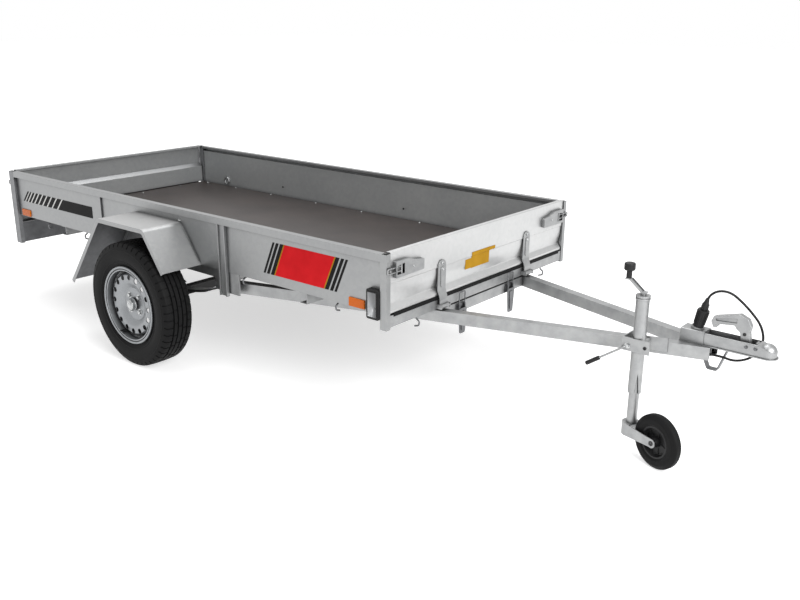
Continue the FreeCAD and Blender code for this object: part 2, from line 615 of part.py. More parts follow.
def spring_clamps():
    """Four bolts and two plates that clamp each spring to the axle."""
    under = "wheel_radius - axle_square / 2 - clamp_plate"
    over = "wheel_radius + axle_square / 2 + 3 * leaf_thick + leaf_seat"
    along = "axle_square / 2 + u_bolt_gap + u_bolt_radius"
    across = "spring_width / 2 + u_bolt_gap + u_bolt_radius"
    parts = []
    for dx in (-1, 1):
        for dy in (-1, 1):
            parts.append(rod("u_bolt", ("axle_place + %d * (%s)" % (dx, along),
                                        "-spring_side + %d * (%s)" % (dy, across), under),
                             "u_bolt_radius", "(%s) - (%s) + 2 * clamp_plate" % (over, under)))
    for low in (under, over):
        parts.append(box("clamp_plate",
                         ("axle_place - axle_square / 2 - clamp_edge",
                          "-spring_side - spring_width / 2 - clamp_edge", low),
                         ("axle_place + axle_square / 2 + clamp_edge",
                          "-spring_side + spring_width / 2 + clamp_edge", low + " + clamp_plate")))
    node("spring_clamps", both_sides("clamp_pair", fused("spring_clamp", *parts)))


def tyre_section():
    """Half round of a tyre: beads, swelling sidewalls, rounded shoulders and a flat tread."""
    bead = size("rim_half_width") - size("flange_thick")
    half, seat, top = size("tyre_width") / 2, size("seat_radius"), size("wheel_radius")
    side = [(bead, seat), (bead, seat + size("bead_height")), (half, seat + 2 * size("bead_height")),
            (half, top - size("shoulder_drop")), (half - size("shoulder_inset"), top)]
    across = [(-a, r) for a, r in side] + side[::-1]
    bulge, corner = size("sidewall_radius"), size("shoulder_radius")
    bends = [corner, bulge, bulge, size("tread_bend")]
    return bent_face(across, -size("tyre_wall"), bends + bends[::-1], lambda a, b: Vector(0, a, b))


def rim_section():
    """Outline of the pressed wheel with its dished disc, its hub and the dust cap."""
    seat_in, drop_in = "seat_radius - rim_sheet", "drop_radius - rim_sheet"
    share = "drop_radius * %s"
    barrel_back = [("-rim_half_width", "rim_flange_radius"), ("-rim_half_width", seat_in),
                   ("-drop_back - rim_sheet", seat_in), ("-drop_back - rim_sheet + drop_slope", drop_in),
                   ("disc_seat", drop_in)]
    disc_back = [("disc_seat", drop_in + " - rim_sheet"), ("disc_face - 10", drop_in + " - rim_sheet"),
                 ("disc_face - 5", share % 0.90), ("disc_face - 4", share % 0.79),
                 ("disc_face - 8", share % 0.67), ("bolt_face - rim_sheet", share % 0.50)]
    hub = [("bolt_face - rim_sheet", share % 0.44), ("bolt_face - 16", share % 0.44),
           ("bolt_face - 16", share % 0.26), ("-hub_back", share % 0.26),
           ("-hub_back", "spindle_radius + running_gap"),
           ("spindle_reach + 10", "spindle_radius + running_gap"), ("spindle_reach + 10", "0")]
    cap = [("cap_reach", "0"), ("cap_reach - 1", share % 0.10), ("cap_reach - 6", share % 0.165),
           ("bolt_face + 13", share % 0.18), ("bolt_face + 11", share % 0.20), ("bolt_face", share % 0.20)]
    disc_front = [("bolt_face", share % 0.51), ("disc_face - 4", share % 0.68), ("disc_face", share % 0.80),
                  ("disc_face - 1", share % 0.92), ("disc_face - 8", drop_in), ("disc_seat + 10", drop_in)]
    barrel_front = [("disc_seat + 18", seat_in), ("rim_half_width", seat_in),
                    ("rim_half_width", "rim_flange_radius")]
    seat = [("flange_thick - rim_half_width", "seat_radius"),
            ("flange_thick - rim_half_width", "rim_flange_radius")]
    tyre_side = [("rim_half_width - flange_thick", "rim_flange_radius"),
                 ("rim_half_width - flange_thick", "seat_radius"), ("disc_seat + 15", "seat_radius"),
                 ("disc_seat + 7", "drop_radius"), ("-drop_back + drop_slope - 2", "drop_radius"),
                 ("-drop_back - 2", "seat_radius")] + seat
    return barrel_back + disc_back + hub + cap + disc_front + barrel_front + tyre_side


def wheels():
    """Tyre and pressed steel wheel, turned about the axle."""
    for side, name in ((-1, "right"), (1, "left")):
        middle = Vector(size("axle_place"), side * size("wheel_side"), size("wheel_radius"))
        tyre = tyre_section().revolve(Vector(), Vector(0, 1, 0), 360)
        node("tyre_" + name, feature("tyre_ring_" + name, tyre, Placement(middle, Rotation())))
        body = revolved("wheel_" + name, [rim_section()])
        vents(body)
        if side < 0:
            body.Placement = Placement(Vector(), Rotation(Vector(0, 0, 1), 180))
        bind(body, Placement__Base__x="axle_place", Placement__Base__y="%d * wheel_side" % side,
             Placement__Base__z="wheel_radius")
        node("rim_" + name, body)


def vents(body):
    """Ring of round vent holes through the shoulder of the wheel's disc."""
    sketch = sketch_on(body, "XZ_Plane", [("0", "vent_ring", "vent_radius")], "-(cap_reach)")
    pocket = body.newObject("PartDesign::Pocket", "vent")
    pocket.Profile = sketch
    pocket.Reversed = True
    bind(pocket, Length="cap_reach - disc_seat")
    ring = body.newObject("PartDesign::PolarPattern", "vents")
    ring.Originals = [pocket]
    ring.Axis = ([item for item in body.Origin.OriginFeatures if item.Role == "Y_Axis"][0], [""])
    ring.Angle = 360
    bind(ring, Occurrences="vent_count")
    body.Tip = ring


def mudguards():
    """Folded sheet over the wheel, lipped along both edges, with a gap beside the bed in front."""
    axle = size("axle_place")
    fold = (axle + size("guard_front_fold"), size("guard_top"))
    tip = (axle + size("guard_front_end"), size("guard_front_height"))
    corners = [(axle - size("guard_rear_end"), size("guard_rear_height")),
               (axle - size("guard_rear_fold"), size("guard_top")), fold, tip]
    inner = -size("panel_out")
    outer = inner - size("guard_width")
    gauge, bend, lip = size("guard_gauge"), size("guard_bend"), size("guard_lip")
    top = bent_sheet(corners, -gauge, bend + lip - gauge, outer, inner)
    edges = [bent_sheet(corners, -lip, bend, y, y + gauge) for y in (outer, inner - gauge)]
    run = math.hypot(tip[0] - fold[0], tip[1] - fold[1])
    ahead = ((tip[0] - fold[0]) / run, (tip[1] - fold[1]) / run)
    slot = []
    for along, across in ((lip, -lip / 2), (run - lip, -lip / 2), (run - lip, lip / 2), (lip, lip / 2)):
        slot.append((fold[0] + ahead[0] * along - ahead[1] * across,
                     fold[1] + ahead[1] * along + ahead[0] * across))
    gap = side_plate(slot, 0, inner - gauge - size("guard_slot"), inner - gauge)
    right = feature("guard_right", top.cut(gap).fuse(edges).removeSplitter())
    node("mudguard_right", right)
    node("mudguard_left", mirrored("guard_left", right))


# End boards
def end_board(title):
    """Pressed board: boxed top rim, crease, swell and groove outside, and a boxed half inside."""
    face, half, gauge = size("board_face"), size("board_half"), size("board_gauge")
    rim, step, deep = face - size("board_rim"), size("crease_step"), size("groove_deep")
    skin = [(rim, size("board_top") - size("board_rim_lip")), (rim, size("board_top")),
            (face, size("board_top")), (face, size("crease_height")),
            (face - step, size("crease_height") - step), (face - step - 1, size("swell_top")),
            (face - deep, size("groove_height")), (face, size("lip_top")), (face, size("board_bottom"))]
    bends = [1, 1, 1, 1, size("swell_bend"), size("groove_bend"), 2]
    inside = face - size("box_deep")
    box_skin = [(face - gauge, size("box_top") + size("box_seam")), (face - gauge, size("box_top")),
                (inside, size("box_top") - size("box_deep") + gauge), (inside, size("box_bottom"))]
    outer = bent_sheet(skin, -gauge, bends, -half, half)
    return feature(title, outer.fuse(bent_sheet(box_skin, -gauge, 2, -half, half)).removeSplitter())


def hinge_straps(title):
    """Round-topped straps on the board with a pressed rib, rolled round the hinge pins."""
    face, thick = size("board_face"), size("strap_thick")
    place, high, knuckle = size("hinge_place"), size("hinge_height"), size("knuckle_radius")
    half, top, rib = size("strap_width") / 2, size("strap_top"), size("strap_rib_width") / 2
    straps = []
    for side in (-1, 1):
        middle = side * size("hinge_offset")
        corners = [(face, top), (face, size("strap_bend")),
                   (place - knuckle + 1, high + 26), (place - knuckle + 1, high)]
        strap = bent_sheet(corners, thick, 3, middle - half, middle + half)
        ends = [(middle - half, high - half), (middle + half, high - half),
                (middle + half, top), (middle - half, top)]
        strap = strap.common(front_plate(ends, [0, 0, half - 1, half - 1], face - thick, place + half))
        low_rib, high_rib = size("strap_rib_bottom"), size("strap_rib_top")
        ends = [(middle - rib, low_rib), (middle + rib, low_rib), (middle + rib, high_rib),
                (middle - rib, high_rib)]
        ridge = front_plate(ends, rib - 1, face + thick, face + thick + size("strap_rib_proud"))
        ridge = softened(ridge, 2, lambda edge: edge.BoundBox.XMin > face + thick + 1)
        roll = Part.makeCylinder(knuckle, 2 * half, Vector(place, middle - half, high), Vector(0, 1, 0))
        bore = Part.makeCylinder(size("hinge_pin_radius") + size("running_gap"), 2 * half + 2,
                                 Vector(place, middle - half - 1, high), Vector(0, 1, 0))
        straps.append(strap.fuse([ridge, roll]).cut(bore).removeSplitter())
    return feature(title, Part.makeCompound(straps))


def board_latches(title):
    """Over-centre latch: a pressed lever, open at its back, and a wire bail round the catch."""
    face, high = size("board_face"), size("latch_height")
    start, end, half = size("latch_start"), size("latch_end"), size("latch_box_half")
    proud, gauge, shoulder = size("latch_proud"), size("latch_gauge"), size("latch_shoulder")
    wire, catch = size("bail_wire"), size("catch_radius") + size("bail_gap")
    level = size("bed_front") + size("catch_proud") - wire - 1
    reach = size("half_width") - size("post_depth") / 2 + catch + wire
    latches = []
    for side in (-1, 1):
        def outline(inset):
            corners = ((start + inset, size("latch_low") + inset), (end - inset, high - half + inset),
                       (end - inset, high + half - inset), (end - size("latch_box"), high + half - inset),
                       (start + shoulder, size("latch_high") + 5 - inset),
                       (start + inset, size("latch_high") - inset))
            return [(side * y, z) for y, z in corners]
        cover = front_plate(outline(0), 4, face, face + proud)
        cover = cover.cut(front_plate(outline(gauge), 2, face, face + proud - gauge))
        window = end - 6 - size("window_width")
        opening = [(side * y, z) for y, z in (
            (window, high - size("window_half")), (end - 6, high - size("window_half")),
            (end - 6, high + size("window_half") - 6), (window, high + size("window_half")))]
        cover = cover.cut(front_plate(opening, 3, face, face + proud + 1))
        pin_place = side * (window + size("window_width") / 3)
        pin = Part.makeCylinder(wire + 1, 2 * half - gauge, Vector(level, pin_place, high - half + gauge / 2))
        points = [Vector(level, pin_place, high + catch), Vector(level, side * reach, high + catch),
                  Vector(level, side * reach, high - catch), Vector(level, pin_place, high - catch)]
        bail = wire_rod(points, wire, wire + 1)
        latches.append(cover.fuse([pin, bail]).removeSplitter())
    return feature(title, Part.makeCompound(latches))


def end_boards():
    for name, maker in (("panel", end_board), ("straps", hinge_straps), ("latches", board_latches)):
        front = maker("front_board_" + name)
        node("headboard_" + name, front)
        node("tailgate_" + name, mirrored("rear_board_" + name, front, (1, 0, 0), "bed_middle"))


# Drawbar
def drawbar_arms():
    """Two hollow arms from the pivots under the bed to the coupling head."""
    run = "arm_end_place - pivot_place"
    reach = "sqrt((%s)^2 + (pivot_side - arm_end_side)^2)" % run
    outer = [("-arm_width / 2", "-arm_height / 2"), ("arm_width / 2", "-arm_height / 2"),
             ("arm_width / 2", "arm_height / 2"), ("-arm_width / 2", "arm_height / 2")]
    inner = [("-arm_width / 2 + arm_wall", "-arm_height / 2 + arm_wall"),
             ("arm_width / 2 - arm_wall", "-arm_height / 2 + arm_wall"),
             ("arm_width / 2 - arm_wall", "arm_height / 2 - arm_wall"),
             ("-arm_width / 2 + arm_wall", "arm_height / 2 - arm_wall")]
    tube = padded("arm_tube", "YZ_Plane", [outer, inner], reach)
    bind(tube, Placement__Rotation__Angle="atan((pivot_side - arm_end_side) / (%s))" % run,
         Placement__Base__x="pivot_place", Placement__Base__y="-pivot_side",
         Placement__Base__z="pivot_height")
    sleeve = rod("sleeve", ("pivot_place", "-sleeve_outer", "pivot_height"), "sleeve_radius",
                 "sleeve_outer - sleeve_inner", "y")
    bore = rod("sleeve_bore", ("pivot_place", "-sleeve_outer - 1", "pivot_height"),
               "pivot_radius + running_gap", "sleeve_outer - sleeve_inner + 2", "y")
    right = node("drawbar_arm_right", cut("arm_right", fused("arm_sleeve", tube, sleeve), bore))
    node("drawbar_arm_left", mirrored("arm_left", right))


def arm_edge(place, outside):
    """Distance from the middle to an arm's side, at a place along the trailer, as a formula."""
    slope = "((pivot_side - arm_end_side) / (arm_end_place - pivot_place))"
    sign = "+" if outside else "-"
    return "pivot_side - (%s - pivot_place) * %s %s arm_width / 2 * sqrt(1 + %s^2)" % (
        place, slope, sign, slope)


def latch_beam():
    """Beam between the arms, right under the bed's front beam, with two tilt latches."""
    rear, front = "(beam_face - beam_depth)", "(beam_face)"
    low, high = arm_edge(rear, False), arm_edge(front, False)
    corners = [(rear, "-(%s)" % low), (front, "-(%s)" % high), (front, high), (rear, low)]
    node("latch_beam", padded("tilt_beam", "XY_Plane", [corners], "arm_height - tilt_clearance + 1",
                              "arm_bottom + 2"))
    face, proud = size("beam_face"), size("tilt_latch_proud")
    half, wire = size("tilt_latch_width") / 2, size("bail_wire")
    base_low, base_high = size("arm_bottom") + 6, size("arm_top") - size("tilt_clearance") - 1
    lever_top, lever_low = size("tilt_lever_top"), size("tilt_lever_bottom")
    wide, narrow = size("tilt_lever_wide") / 2, size("tilt_lever_narrow") / 2
    parts = []
    for side in (-1, 1):
        middle = side * size("tilt_latch_side")
        base = front_plate([(middle - half, base_low), (middle + half, base_low),
                            (middle + half, base_high), (middle - half, base_high)], 6, face, face + 4)
        cheeks = [Part.makeBox(proud, 5, base_high - base_low - 6, Vector(face, y, base_low + 3))
                  for y in (middle - half + 8, middle + half - 13)]
        lever = front_plate([(middle - narrow, lever_low), (middle + narrow, lever_low),
                             (middle + wide, lever_top), (middle - wide, lever_top)], 8,
                            face + proud - 2, face + proud + 2)
        rib = front_plate([(middle - narrow / 2, lever_low + 14), (middle + narrow / 2, lever_low + 14),
                           (middle + wide / 2, lever_top - 12), (middle - wide / 2, lever_top - 12)], 6,
                          face + proud + 2, face + proud + 5)
        left, right = middle - half + 10, middle + half - 10
        points = [Vector(face + 10, y, z) for y, z in (
            (left, base_high - 8), (left, size("tilt_bail_top")), (right, size("tilt_bail_top")),
            (right, base_high - 8))]
        parts.append(base.fuse(cheeks + [lever, rib, wire_rod(points, wire, 6)]).removeSplitter())
    node("tilt_latches", feature("tilt_latch_pair", Part.makeCompound(parts)))


def coupling_shell(rear, end, half, top):
    """Block of the head's outside from one X to another, with its upper edges rounded."""
    low = size("coupling_bottom")
    block = Part.makeBox(end - rear, 2 * half, top - low, Vector(rear, -half, low))
    return softened(block, size("coupling_edge"),
                    lambda edge: edge.BoundBox.XLength > end - rear - 1 and edge.BoundBox.ZMin > top - 1)


def coupling():
    """Pressed head with an open trough on top, a lipped foot and a dome over the ball."""
    nose, rear, top = size("nose_end"), size("coupling_rear"), size("coupling_top")
    half, wall, low = size("coupling_half"), size("coupling_wall"), size("coupling_bottom")
    ball, web, level = size("ball_place"), size("web_height"), size("ball_height")
    upwards, across = Vector(0, 0, 1), Vector(0, 1, 0)
    lip_half, inside = half + size("coupling_lip"), half - wall
    cover_end, cover_top = nose - size("cover_end_back"), top + size("cover_rise")
    start, slope_low = nose - size("nose_slope_back"), size("nose_slope_low")
    slope = side_plate([(start, top), (nose + 1, slope_low), (nose + 1, 2 * top), (start, 2 * top)],
                       0, -2 * half, 2 * half)
    body = coupling_shell(rear, ball, half, top)
    body = body.fuse(Part.makeCylinder(half, top - low, Vector(ball, 0, low), upwards)).cut(slope)
    lip = Part.makeBox(ball - rear, 2 * lip_half, wall, Vector(rear, -lip_half, low))
    head = body.fuse([lip, Part.makeCylinder(lip_half, wall, Vector(ball, 0, low), upwards),
                      Part.makeSphere(size("socket_radius") + size("dome_wall"), Vector(ball, 0, level)),
                      coupling_shell(rear, cover_end, half + size("cover_proud"), cover_top)])
    rooms = [Part.makeBox(size("cover_end_back") - size("trough_end_back"), 2 * inside, top,
                          Vector(cover_end, -inside, web)),
             Part.makeBox(ball - half - rear, 2 * inside, web - wall - low, Vector(rear - 1, -inside, low)),
             Part.makeBox(cover_end - rear - wall, 2 * inside, top - web, Vector(rear - 1, -inside, web)),
             Part.makeSphere(size("socket_radius"), Vector(ball, 0, level)),
             Part.makeCylinder(size("socket_radius"), level, Vector(ball, 0, 0), upwards),
             Part.makeBox(nose, 2 * nose, low, Vector(rear, -nose, 0))]
    pins = [Part.makeCylinder(size("lever_pin_radius"), 2 * half + 2,
                              Vector(nose - back, -half - 1, size("lever_pivot_height")), across)
            for back in (size("lever_pivot_back"), size("lock_pin_back"))]
    bar_half = size("bar_width") / 2
    bar = Part.makeBox(size("bar_length"), 2 * bar_half, size("bar_height"),
                       Vector(cover_end, -bar_half, web))
    lock = nose - size("lock_pin_back")
    latch = side_plate([(lock - 18, web), (lock + 6, web), (lock + 4, top - 6), (lock - 8, top + 2)],
                       2, -bar_half - 6, bar_half + 6)
    node("coupling_head", feature("head", head.cut(rooms).fuse(pins + [bar, latch]).removeSplitter()))
    coupling_lever()
    safety_loop()


def coupling_lever():
    """Bent hand lever with a finger groove along both of its sides."""
    nose, grip, groove = size("nose_end"), size("lever_half"), size("grip_recess")
    lever = side_plate([(nose - back, high) for back, high in LEVER_OUTLINE], 4, -grip, grip)
    lever = softened(lever, 2, lambda edge: edge.BoundBox.YLength < 0.01
                     and edge.BoundBox.ZMin > size("coupling_top"))
    recess = [(nose - back, high) for back, high in LEVER_GROOVE]
    for low in (-grip - 1, grip - groove):
        lever = lever.cut(side_plate(recess, 3, low, low + groove + 1))
    pivot = Vector(nose - size("lever_pivot_back"), -grip - 1, size("lever_pivot_height"))
    hole = Part.makeCylinder(size("lever_pin_radius") + size("running_gap"), 2 * grip + 2, pivot,
                             Vector(0, 1, 0))
    node("coupling_lever", feature("lever", lever.cut(hole)))


def safety_loop():
    """Bent strip under the arms' end for the breakaway cable."""
    nose, under, low = size("nose_end"), size("arm_bottom"), size("coupling_bottom")
    half, bottom = size("coupling_half"), size("loop_bottom")
    corners = [(nose - back, high) for back, high in zip(LOOP_PLACES, (under, bottom, bottom, low))]
    strip = bent_sheet(corners, size("loop_thick"), 6, half - size("loop_width"), half)
    middle = (corners[1][0] + corners[2][0]) / 2
    above_arms = Part.makeBox(middle - corners[0][0] + 40, half, low, Vector(corners[0][0] - 40, 0, under))
    above_head = Part.makeBox(middle, half, low, Vector(middle, 0, low))
    node("safety_loop", feature("loop", strip.cut([above_arms, above_head])))


# Jockey wheel
def clamp_bracket():
    """Folded sheet on the arm's outer side, open above and below, with a jaw round the tube."""
    rear, front = "(jockey_place - clamp_length / 2)", "(jockey_place + clamp_length / 2)"
    outside, foot_end = "-jockey_side - tube_radius - clamp_wall", front + " + foot_reach"
    near, wall = rear + " + clamp_wall", "clamp_wall * 1.1"
    plan = [(rear, outside), (front, outside), (front, outside + " + clamp_wall"),
            (near, outside + " + clamp_wall"), (near, "-(%s) - %s" % (arm_edge(near, True), wall)),
            (near, "-(%s)" % arm_edge(near, True)), (rear, "-(%s)" % arm_edge(rear, True))]
    foot = [(rear, "-(%s)" % arm_edge(rear, True)), (rear, "-(%s) - %s" % (arm_edge(rear, True), wall)),
            (foot_end, "-(%s) - %s" % (arm_edge(foot_end, True), wall)),
            (foot_end, "-(%s)" % arm_edge(foot_end, True))]
    low = "clamp_bottom + (clamp_height - clamp_jaw) / 2"
    parts = [padded("clamp_sheet", "XY_Plane", [plan], "clamp_height", "clamp_bottom"),
             padded("clamp_foot", "XY_Plane", [foot], "foot_height", "foot_bottom"),
             rod("clamp_jaw_ring", ("jockey_place", "-jockey_side", low), "tube_radius + clamp_wall",
                 "clamp_jaw"),
             box("clamp_web", ("jockey_place - clamp_jaw", "-jockey_side", low),
                 ("jockey_place + clamp_jaw", "-(%s) - 1" % arm_edge("(jockey_place - clamp_jaw)", True),
                  low + " + clamp_jaw"))]
    bore = rod("clamp_bore", ("jockey_place", "-jockey_side", "clamp_bottom - 1"),
               "tube_radius + running_gap", "clamp_height + 2")
    node("jockey_clamp", cut("clamp", fused("clamp_body", *parts), bore))


def jockey():
    """Jockey wheel: a tube clamped to the arm, with the crank on top and the leg below."""
    clamp_bracket()
    centre, side = "jockey_place", "-jockey_side"
    outer = rod("outer_tube", (centre, side, "tube_bottom"), "tube_radius", "tube_top - tube_bottom")
    ring = "(collar_height - collar_groove) / 2"
    collars = [rod("collar", (centre, side, "tube_top - %s" % low), "collar_radius", ring)
               for low in (ring, "collar_height")]
    bore = rod("tube_bore", (centre, side, "tube_bottom + guide_height"), "tube_radius - tube_wall",
               "tube_top - tube_bottom - guide_height - 5")
    guide = rod("tube_guide", (centre, side, "tube_bottom - 1"), "leg_radius + slide_gap", "guide_height + 2")
    half, low = size("notch_width") / 2, size("tube_bottom")
    notch = Part.Face(Part.makePolygon([Vector(0, -half, low - 1), Vector(0, half, low - 1),
                                        Vector(0, 0, size("notch_top")), Vector(0, -half, low - 1)]))
    turn = Placement(Vector(size("jockey_place"), -size("jockey_side"), 0),
                     Rotation(Vector(0, 0, 1), size("notch_facing")))
    slit = feature("tube_notch", notch.extrude(Vector(2 * size("tube_radius"), 0, 0)), turn)
    node("jockey_tube", cut("jockey_outer", fused("tube_collars", outer, *collars), bore, guide, slit))
    leg = rod("leg_bar", (centre, side, "leg_bottom"), "leg_radius", "leg_length")
    socket = rod("spigot_bore", (centre, side, "leg_bottom - 1"), "spigot_radius + running_gap",
                 "spigot_length + 3")
    node("jockey_leg", cut("leg", leg, socket))
    crank()
    clamp_handle()
    fork_and_wheel()


def crank():
    """Bent strip on the spindle's end, and the knob that turns it."""
    x, y, top = size("jockey_place"), -size("jockey_side"), size("tube_top")
    back, high, half = size("crank_back"), size("crank_top"), size("crank_width") / 2
    gauge = size("crank_gauge")
    points = [(x + half + 2, top + 8), (x - 6, top + 8), (x - back + 6, high - gauge),
              (x - back - half, high - gauge)]
    strip = bent_sheet(points, -gauge, 6, y - half, y + half)
    nut = Part.makeCylinder(half, 8, Vector(x, y, top))
    rim = bent_sheet(points[1:3], -gauge - 3, 6, y - half, y - half + 3)
    edges = [rim, rim.translated(Vector(0, 2 * half - 3, 0))]
    node("jockey_crank", feature("crank_strip", strip.fuse([nut] + edges).removeSplitter()))
    middle = Vector(x - back, y, high)
    neck = Part.makeCylinder(size("knob_neck"), 30, middle)
    cap_height = size("board_top") - high - 28
    cap = Part.makeCylinder(size("knob_radius"), cap_height, middle + Vector(0, 0, 28))
    cap = softened(cap, 6, lambda edge: edge.BoundBox.ZLength < 0.01)
    node("crank_knob", feature("knob", neck.fuse(cap).removeSplitter()))


def clamp_handle():
    """Threaded rod of the clamp, bent down to its plastic grip."""
    x, low = size("jockey_place"), size("clamp_bottom")
    reach = -size("jockey_side") - size("tube_radius") - size("clamp_wall")
    root = Vector(x - size("lever_back"), reach, low + size("clamp_height") / 3)
    bend = root - Vector(0, size("lever_reach"), 0)
    end = bend + Vector(-size("lever_length"), -3, -size("lever_fall"))
    node("clamp_lever", feature("lever_rod", wire_rod([root, bend, end], size("lever_radius"), 5)))
    grip = Part.makeCylinder(2 * size("lever_radius"), size("grip_length"), end, (end - bend).normalize())
    grip = softened(grip, 3, lambda edge: edge.Curve.TypeId == "Part::GeomCircle")
    node("clamp_grip", feature("grip", grip))


def fork_and_wheel():
    """Fork that trails behind the leg, and the spoked wheel between its cheeks."""
    trail, wall = size("trail"), size("fork_wall")
    half, end = size("fork_gap") / 2, size("fork_end")
    level, radius = size("jockey_wheel_radius"), size("jockey_axle_radius")
    top = size("leg_bottom") - size("slide_gap")
    low = top - size("fork_height")
    across = Vector(0, 1, 0)
    ring = Part.makeCylinder(half + wall, top - low, Vector(0, 0, low))
    ring = ring.cut(Part.makeCylinder(half, top - low, Vector(0, 0, low)))
    ring = ring.cut(Part.makeBox(trail, 2 * trail, top, Vector(0, -trail, 0)))
    outline = [(0, top), (trail - end, level + end), (trail + end, level + end),
               (trail + end, level - end), (trail - end, level - end), (0, low)]
    rounds = [0, 0, end - 1, end - 1, 0, 0]
    cheeks = [side_plate(outline, rounds, y, y + wall) for y in (-half - wall, half)]
    cap = Part.makeCylinder(half + 1, 5, Vector(0, 0, top - 5))
    cap = cap.cut(Part.makeBox(trail, 2 * trail, 2 * top, Vector(0, -trail, 0)))
    cap = cap.fuse([Part.makeCylinder(size("leg_radius"), 5, Vector(0, 0, top - 5)),
                    Part.makeBox(18, 2 * half + 2, 5, Vector(-0.5, -half - 1, top - 5)),
                    Part.makeCylinder(size("spigot_radius"), size("spigot_length"), Vector(0, 0, top - 1))])
    pin = Part.makeCylinder(radius, 2 * (half + wall) + 8, Vector(trail, -half - wall - 4, level), across)
    turn = Rotation(Vector(0, 0, 1), -size("trail_angle"))
    place = Placement(Vector(size("jockey_place"), -size("jockey_side"), 0), turn)
    node("jockey_fork", feature("fork", ring.fuse(cheeks + [cap, pin]).removeSplitter(), place))

    middle = Vector(trail, 0, level)
    width, hub = size("jockey_wheel_width") / 2, size("jockey_hub_radius")
    half_tyre = [(width - 4, hub), (width, hub + 8), (width, level - 16), (width - 12, level)]
    rubber = [(-a, r) for a, r in half_tyre] + half_tyre[::-1]
    corners = [Vector(trail, a, level + r) for a, r in rubber]
    tyre = rounded_face(corners, [0, 3, 10, 9, 9, 10, 3, 0]).revolve(middle, across, 360)
    node("jockey_tyre", feature("jockey_tyre_ring", tyre, place))
    rim, web, bore = size("jockey_rim_wall"), size("jockey_web") / 2, radius + size("running_gap")
    half_disc = [(width + 2, bore), (width + 2, 16), (web, 20), (web, hub - rim - 6),
                 (width - 4, hub - rim), (width - 4, hub)]
    plastic = [(-a, r) for a, r in half_disc] + half_disc[::-1]
    corners = [Vector(trail, a, level + r) for a, r in plastic]
    wheel = Part.Face(Part.makePolygon(corners + corners[:1])).revolve(middle, across, 360)
    spokes, windows = int(size("jockey_spokes")), []
    for i in range(spokes):
        start, stop = 0.24 * 2 * math.pi / spokes, 0.76 * 2 * math.pi / spokes
        points = []
        for r, angle in ((24, start + 0.12), (hub - rim - 7, start), (hub - rim - 7, stop),
                         (24, stop - 0.12)):
            angle += 2 * math.pi * i / spokes
            points.append((trail + r * math.sin(angle), level + r * math.cos(angle)))
        windows.append(side_plate(points, 2, -width, width))
    node("jockey_hub", feature("jockey_wheel_disc", wheel.cut(windows), place))


# Lamps and fittings
def lamp(length, width, height, place):
    """Rounded lamp housing that faces -Y, with its lens standing out of the face."""
    corner, margin, proud = size("lamp_corner"), size("lens_margin"), size("lens_proud")
    housing = Part.makeBox(length, width, height)
    housing = softened(housing, corner, lambda edge: edge.BoundBox.YLength > width / 2)
    lens = Part.makeBox(length - 2 * margin, proud + 1, height - 2 * margin, Vector(margin, -proud, margin))
    lens = softened(lens, corner / 2, lambda edge: edge.BoundBox.YLength > proud / 2)
    whole = housing.fuse(lens).removeSplitter()
    whole.Placement = place
    return whole


def rear_panel():
    """Panel under the tail with its lamps and the blank plate."""
    face, half = "bed_rear + beam_setback", "post_in - light_panel_gap"
    ledge = "beam_bottom - light_panel_gauge"
    corners = [(face, "light_panel_bottom"), (face + " + light_panel_gauge", "light_panel_bottom"),
               (face + " + light_panel_gauge", ledge), (face + " + beam_depth", ledge),
               (face + " + beam_depth", "beam_bottom"), (face, "beam_bottom")]
    node("rear_light_panel", padded("light_panel", "XZ_Plane", [corners], "2 * (%s)" % half, "-(%s)" % half))
    width, depth = size("tail_lamp_width"), size("tail_lamp_depth")
    outer = size("post_in") - size("light_panel_gap") - size("tail_lamp_inset")
    x, low = size("bed_rear") + size("beam_setback"), size("light_panel_bottom") + size("lamp_rise")
    turn = Rotation(Vector(0, 0, 1), -90)
    lamps = [lamp(width, depth, size("tail_lamp_height"), Placement(Vector(x - depth, y, low), turn))
             for y in (outer, width - outer)]
    node("tail_lamps", feature("tail_lamp_pair", Part.makeCompound(lamps)))
    bottom = "light_panel_bottom + lamp_rise"
    node("number_plate", box("plate", (face + " - plate_thick", "-plate_width / 2", bottom),
                             (face, "plate_width / 2", bottom + " + plate_height")))


def side_fittings():
    """Front marker lamps and the reflectors low on the sides."""
    width, depth = size("marker_width"), size("marker_depth")
    x = size("bed_front") - size("marker_from_front") - width
    y = -size("panel_out") - depth
    place = Placement(Vector(x, y, size("marker_bottom")), Rotation())
    right = feature("marker", Part.makeCompound([lamp(width, depth, size("marker_height"), place)]))
    node("marker_lamps", both_sides("marker_pair", right))
    pieces = []
    for place in ("bed_front - front_reflector - reflector_width", "bed_rear + rear_reflector"):
        piece = box("reflector", (place, "-panel_out - reflector_depth", "reflector_bottom"),
                    (place + " + reflector_width", "-panel_out", "reflector_bottom + reflector_height"))
        pieces += [piece, mirrored("reflector_left", piece)]
    node("side_reflectors", group("reflectors", *pieces))


def rope_hook(root, outwards):
    """Round-bar hook that bulges outwards under its root and turns back below it."""
    bulge, drop = size("hook_bulge"), size("hook_drop")
    down = Vector(0, 0, -drop)
    points = [root, root + down * 0.2, root + outwards * bulge + down * 0.45,
              root + outwards * bulge * 0.75 + down * 0.85, root - outwards * bulge / 2 + down]
    return wire_rod(points, size("hook_wire"), size("hook_bend"))


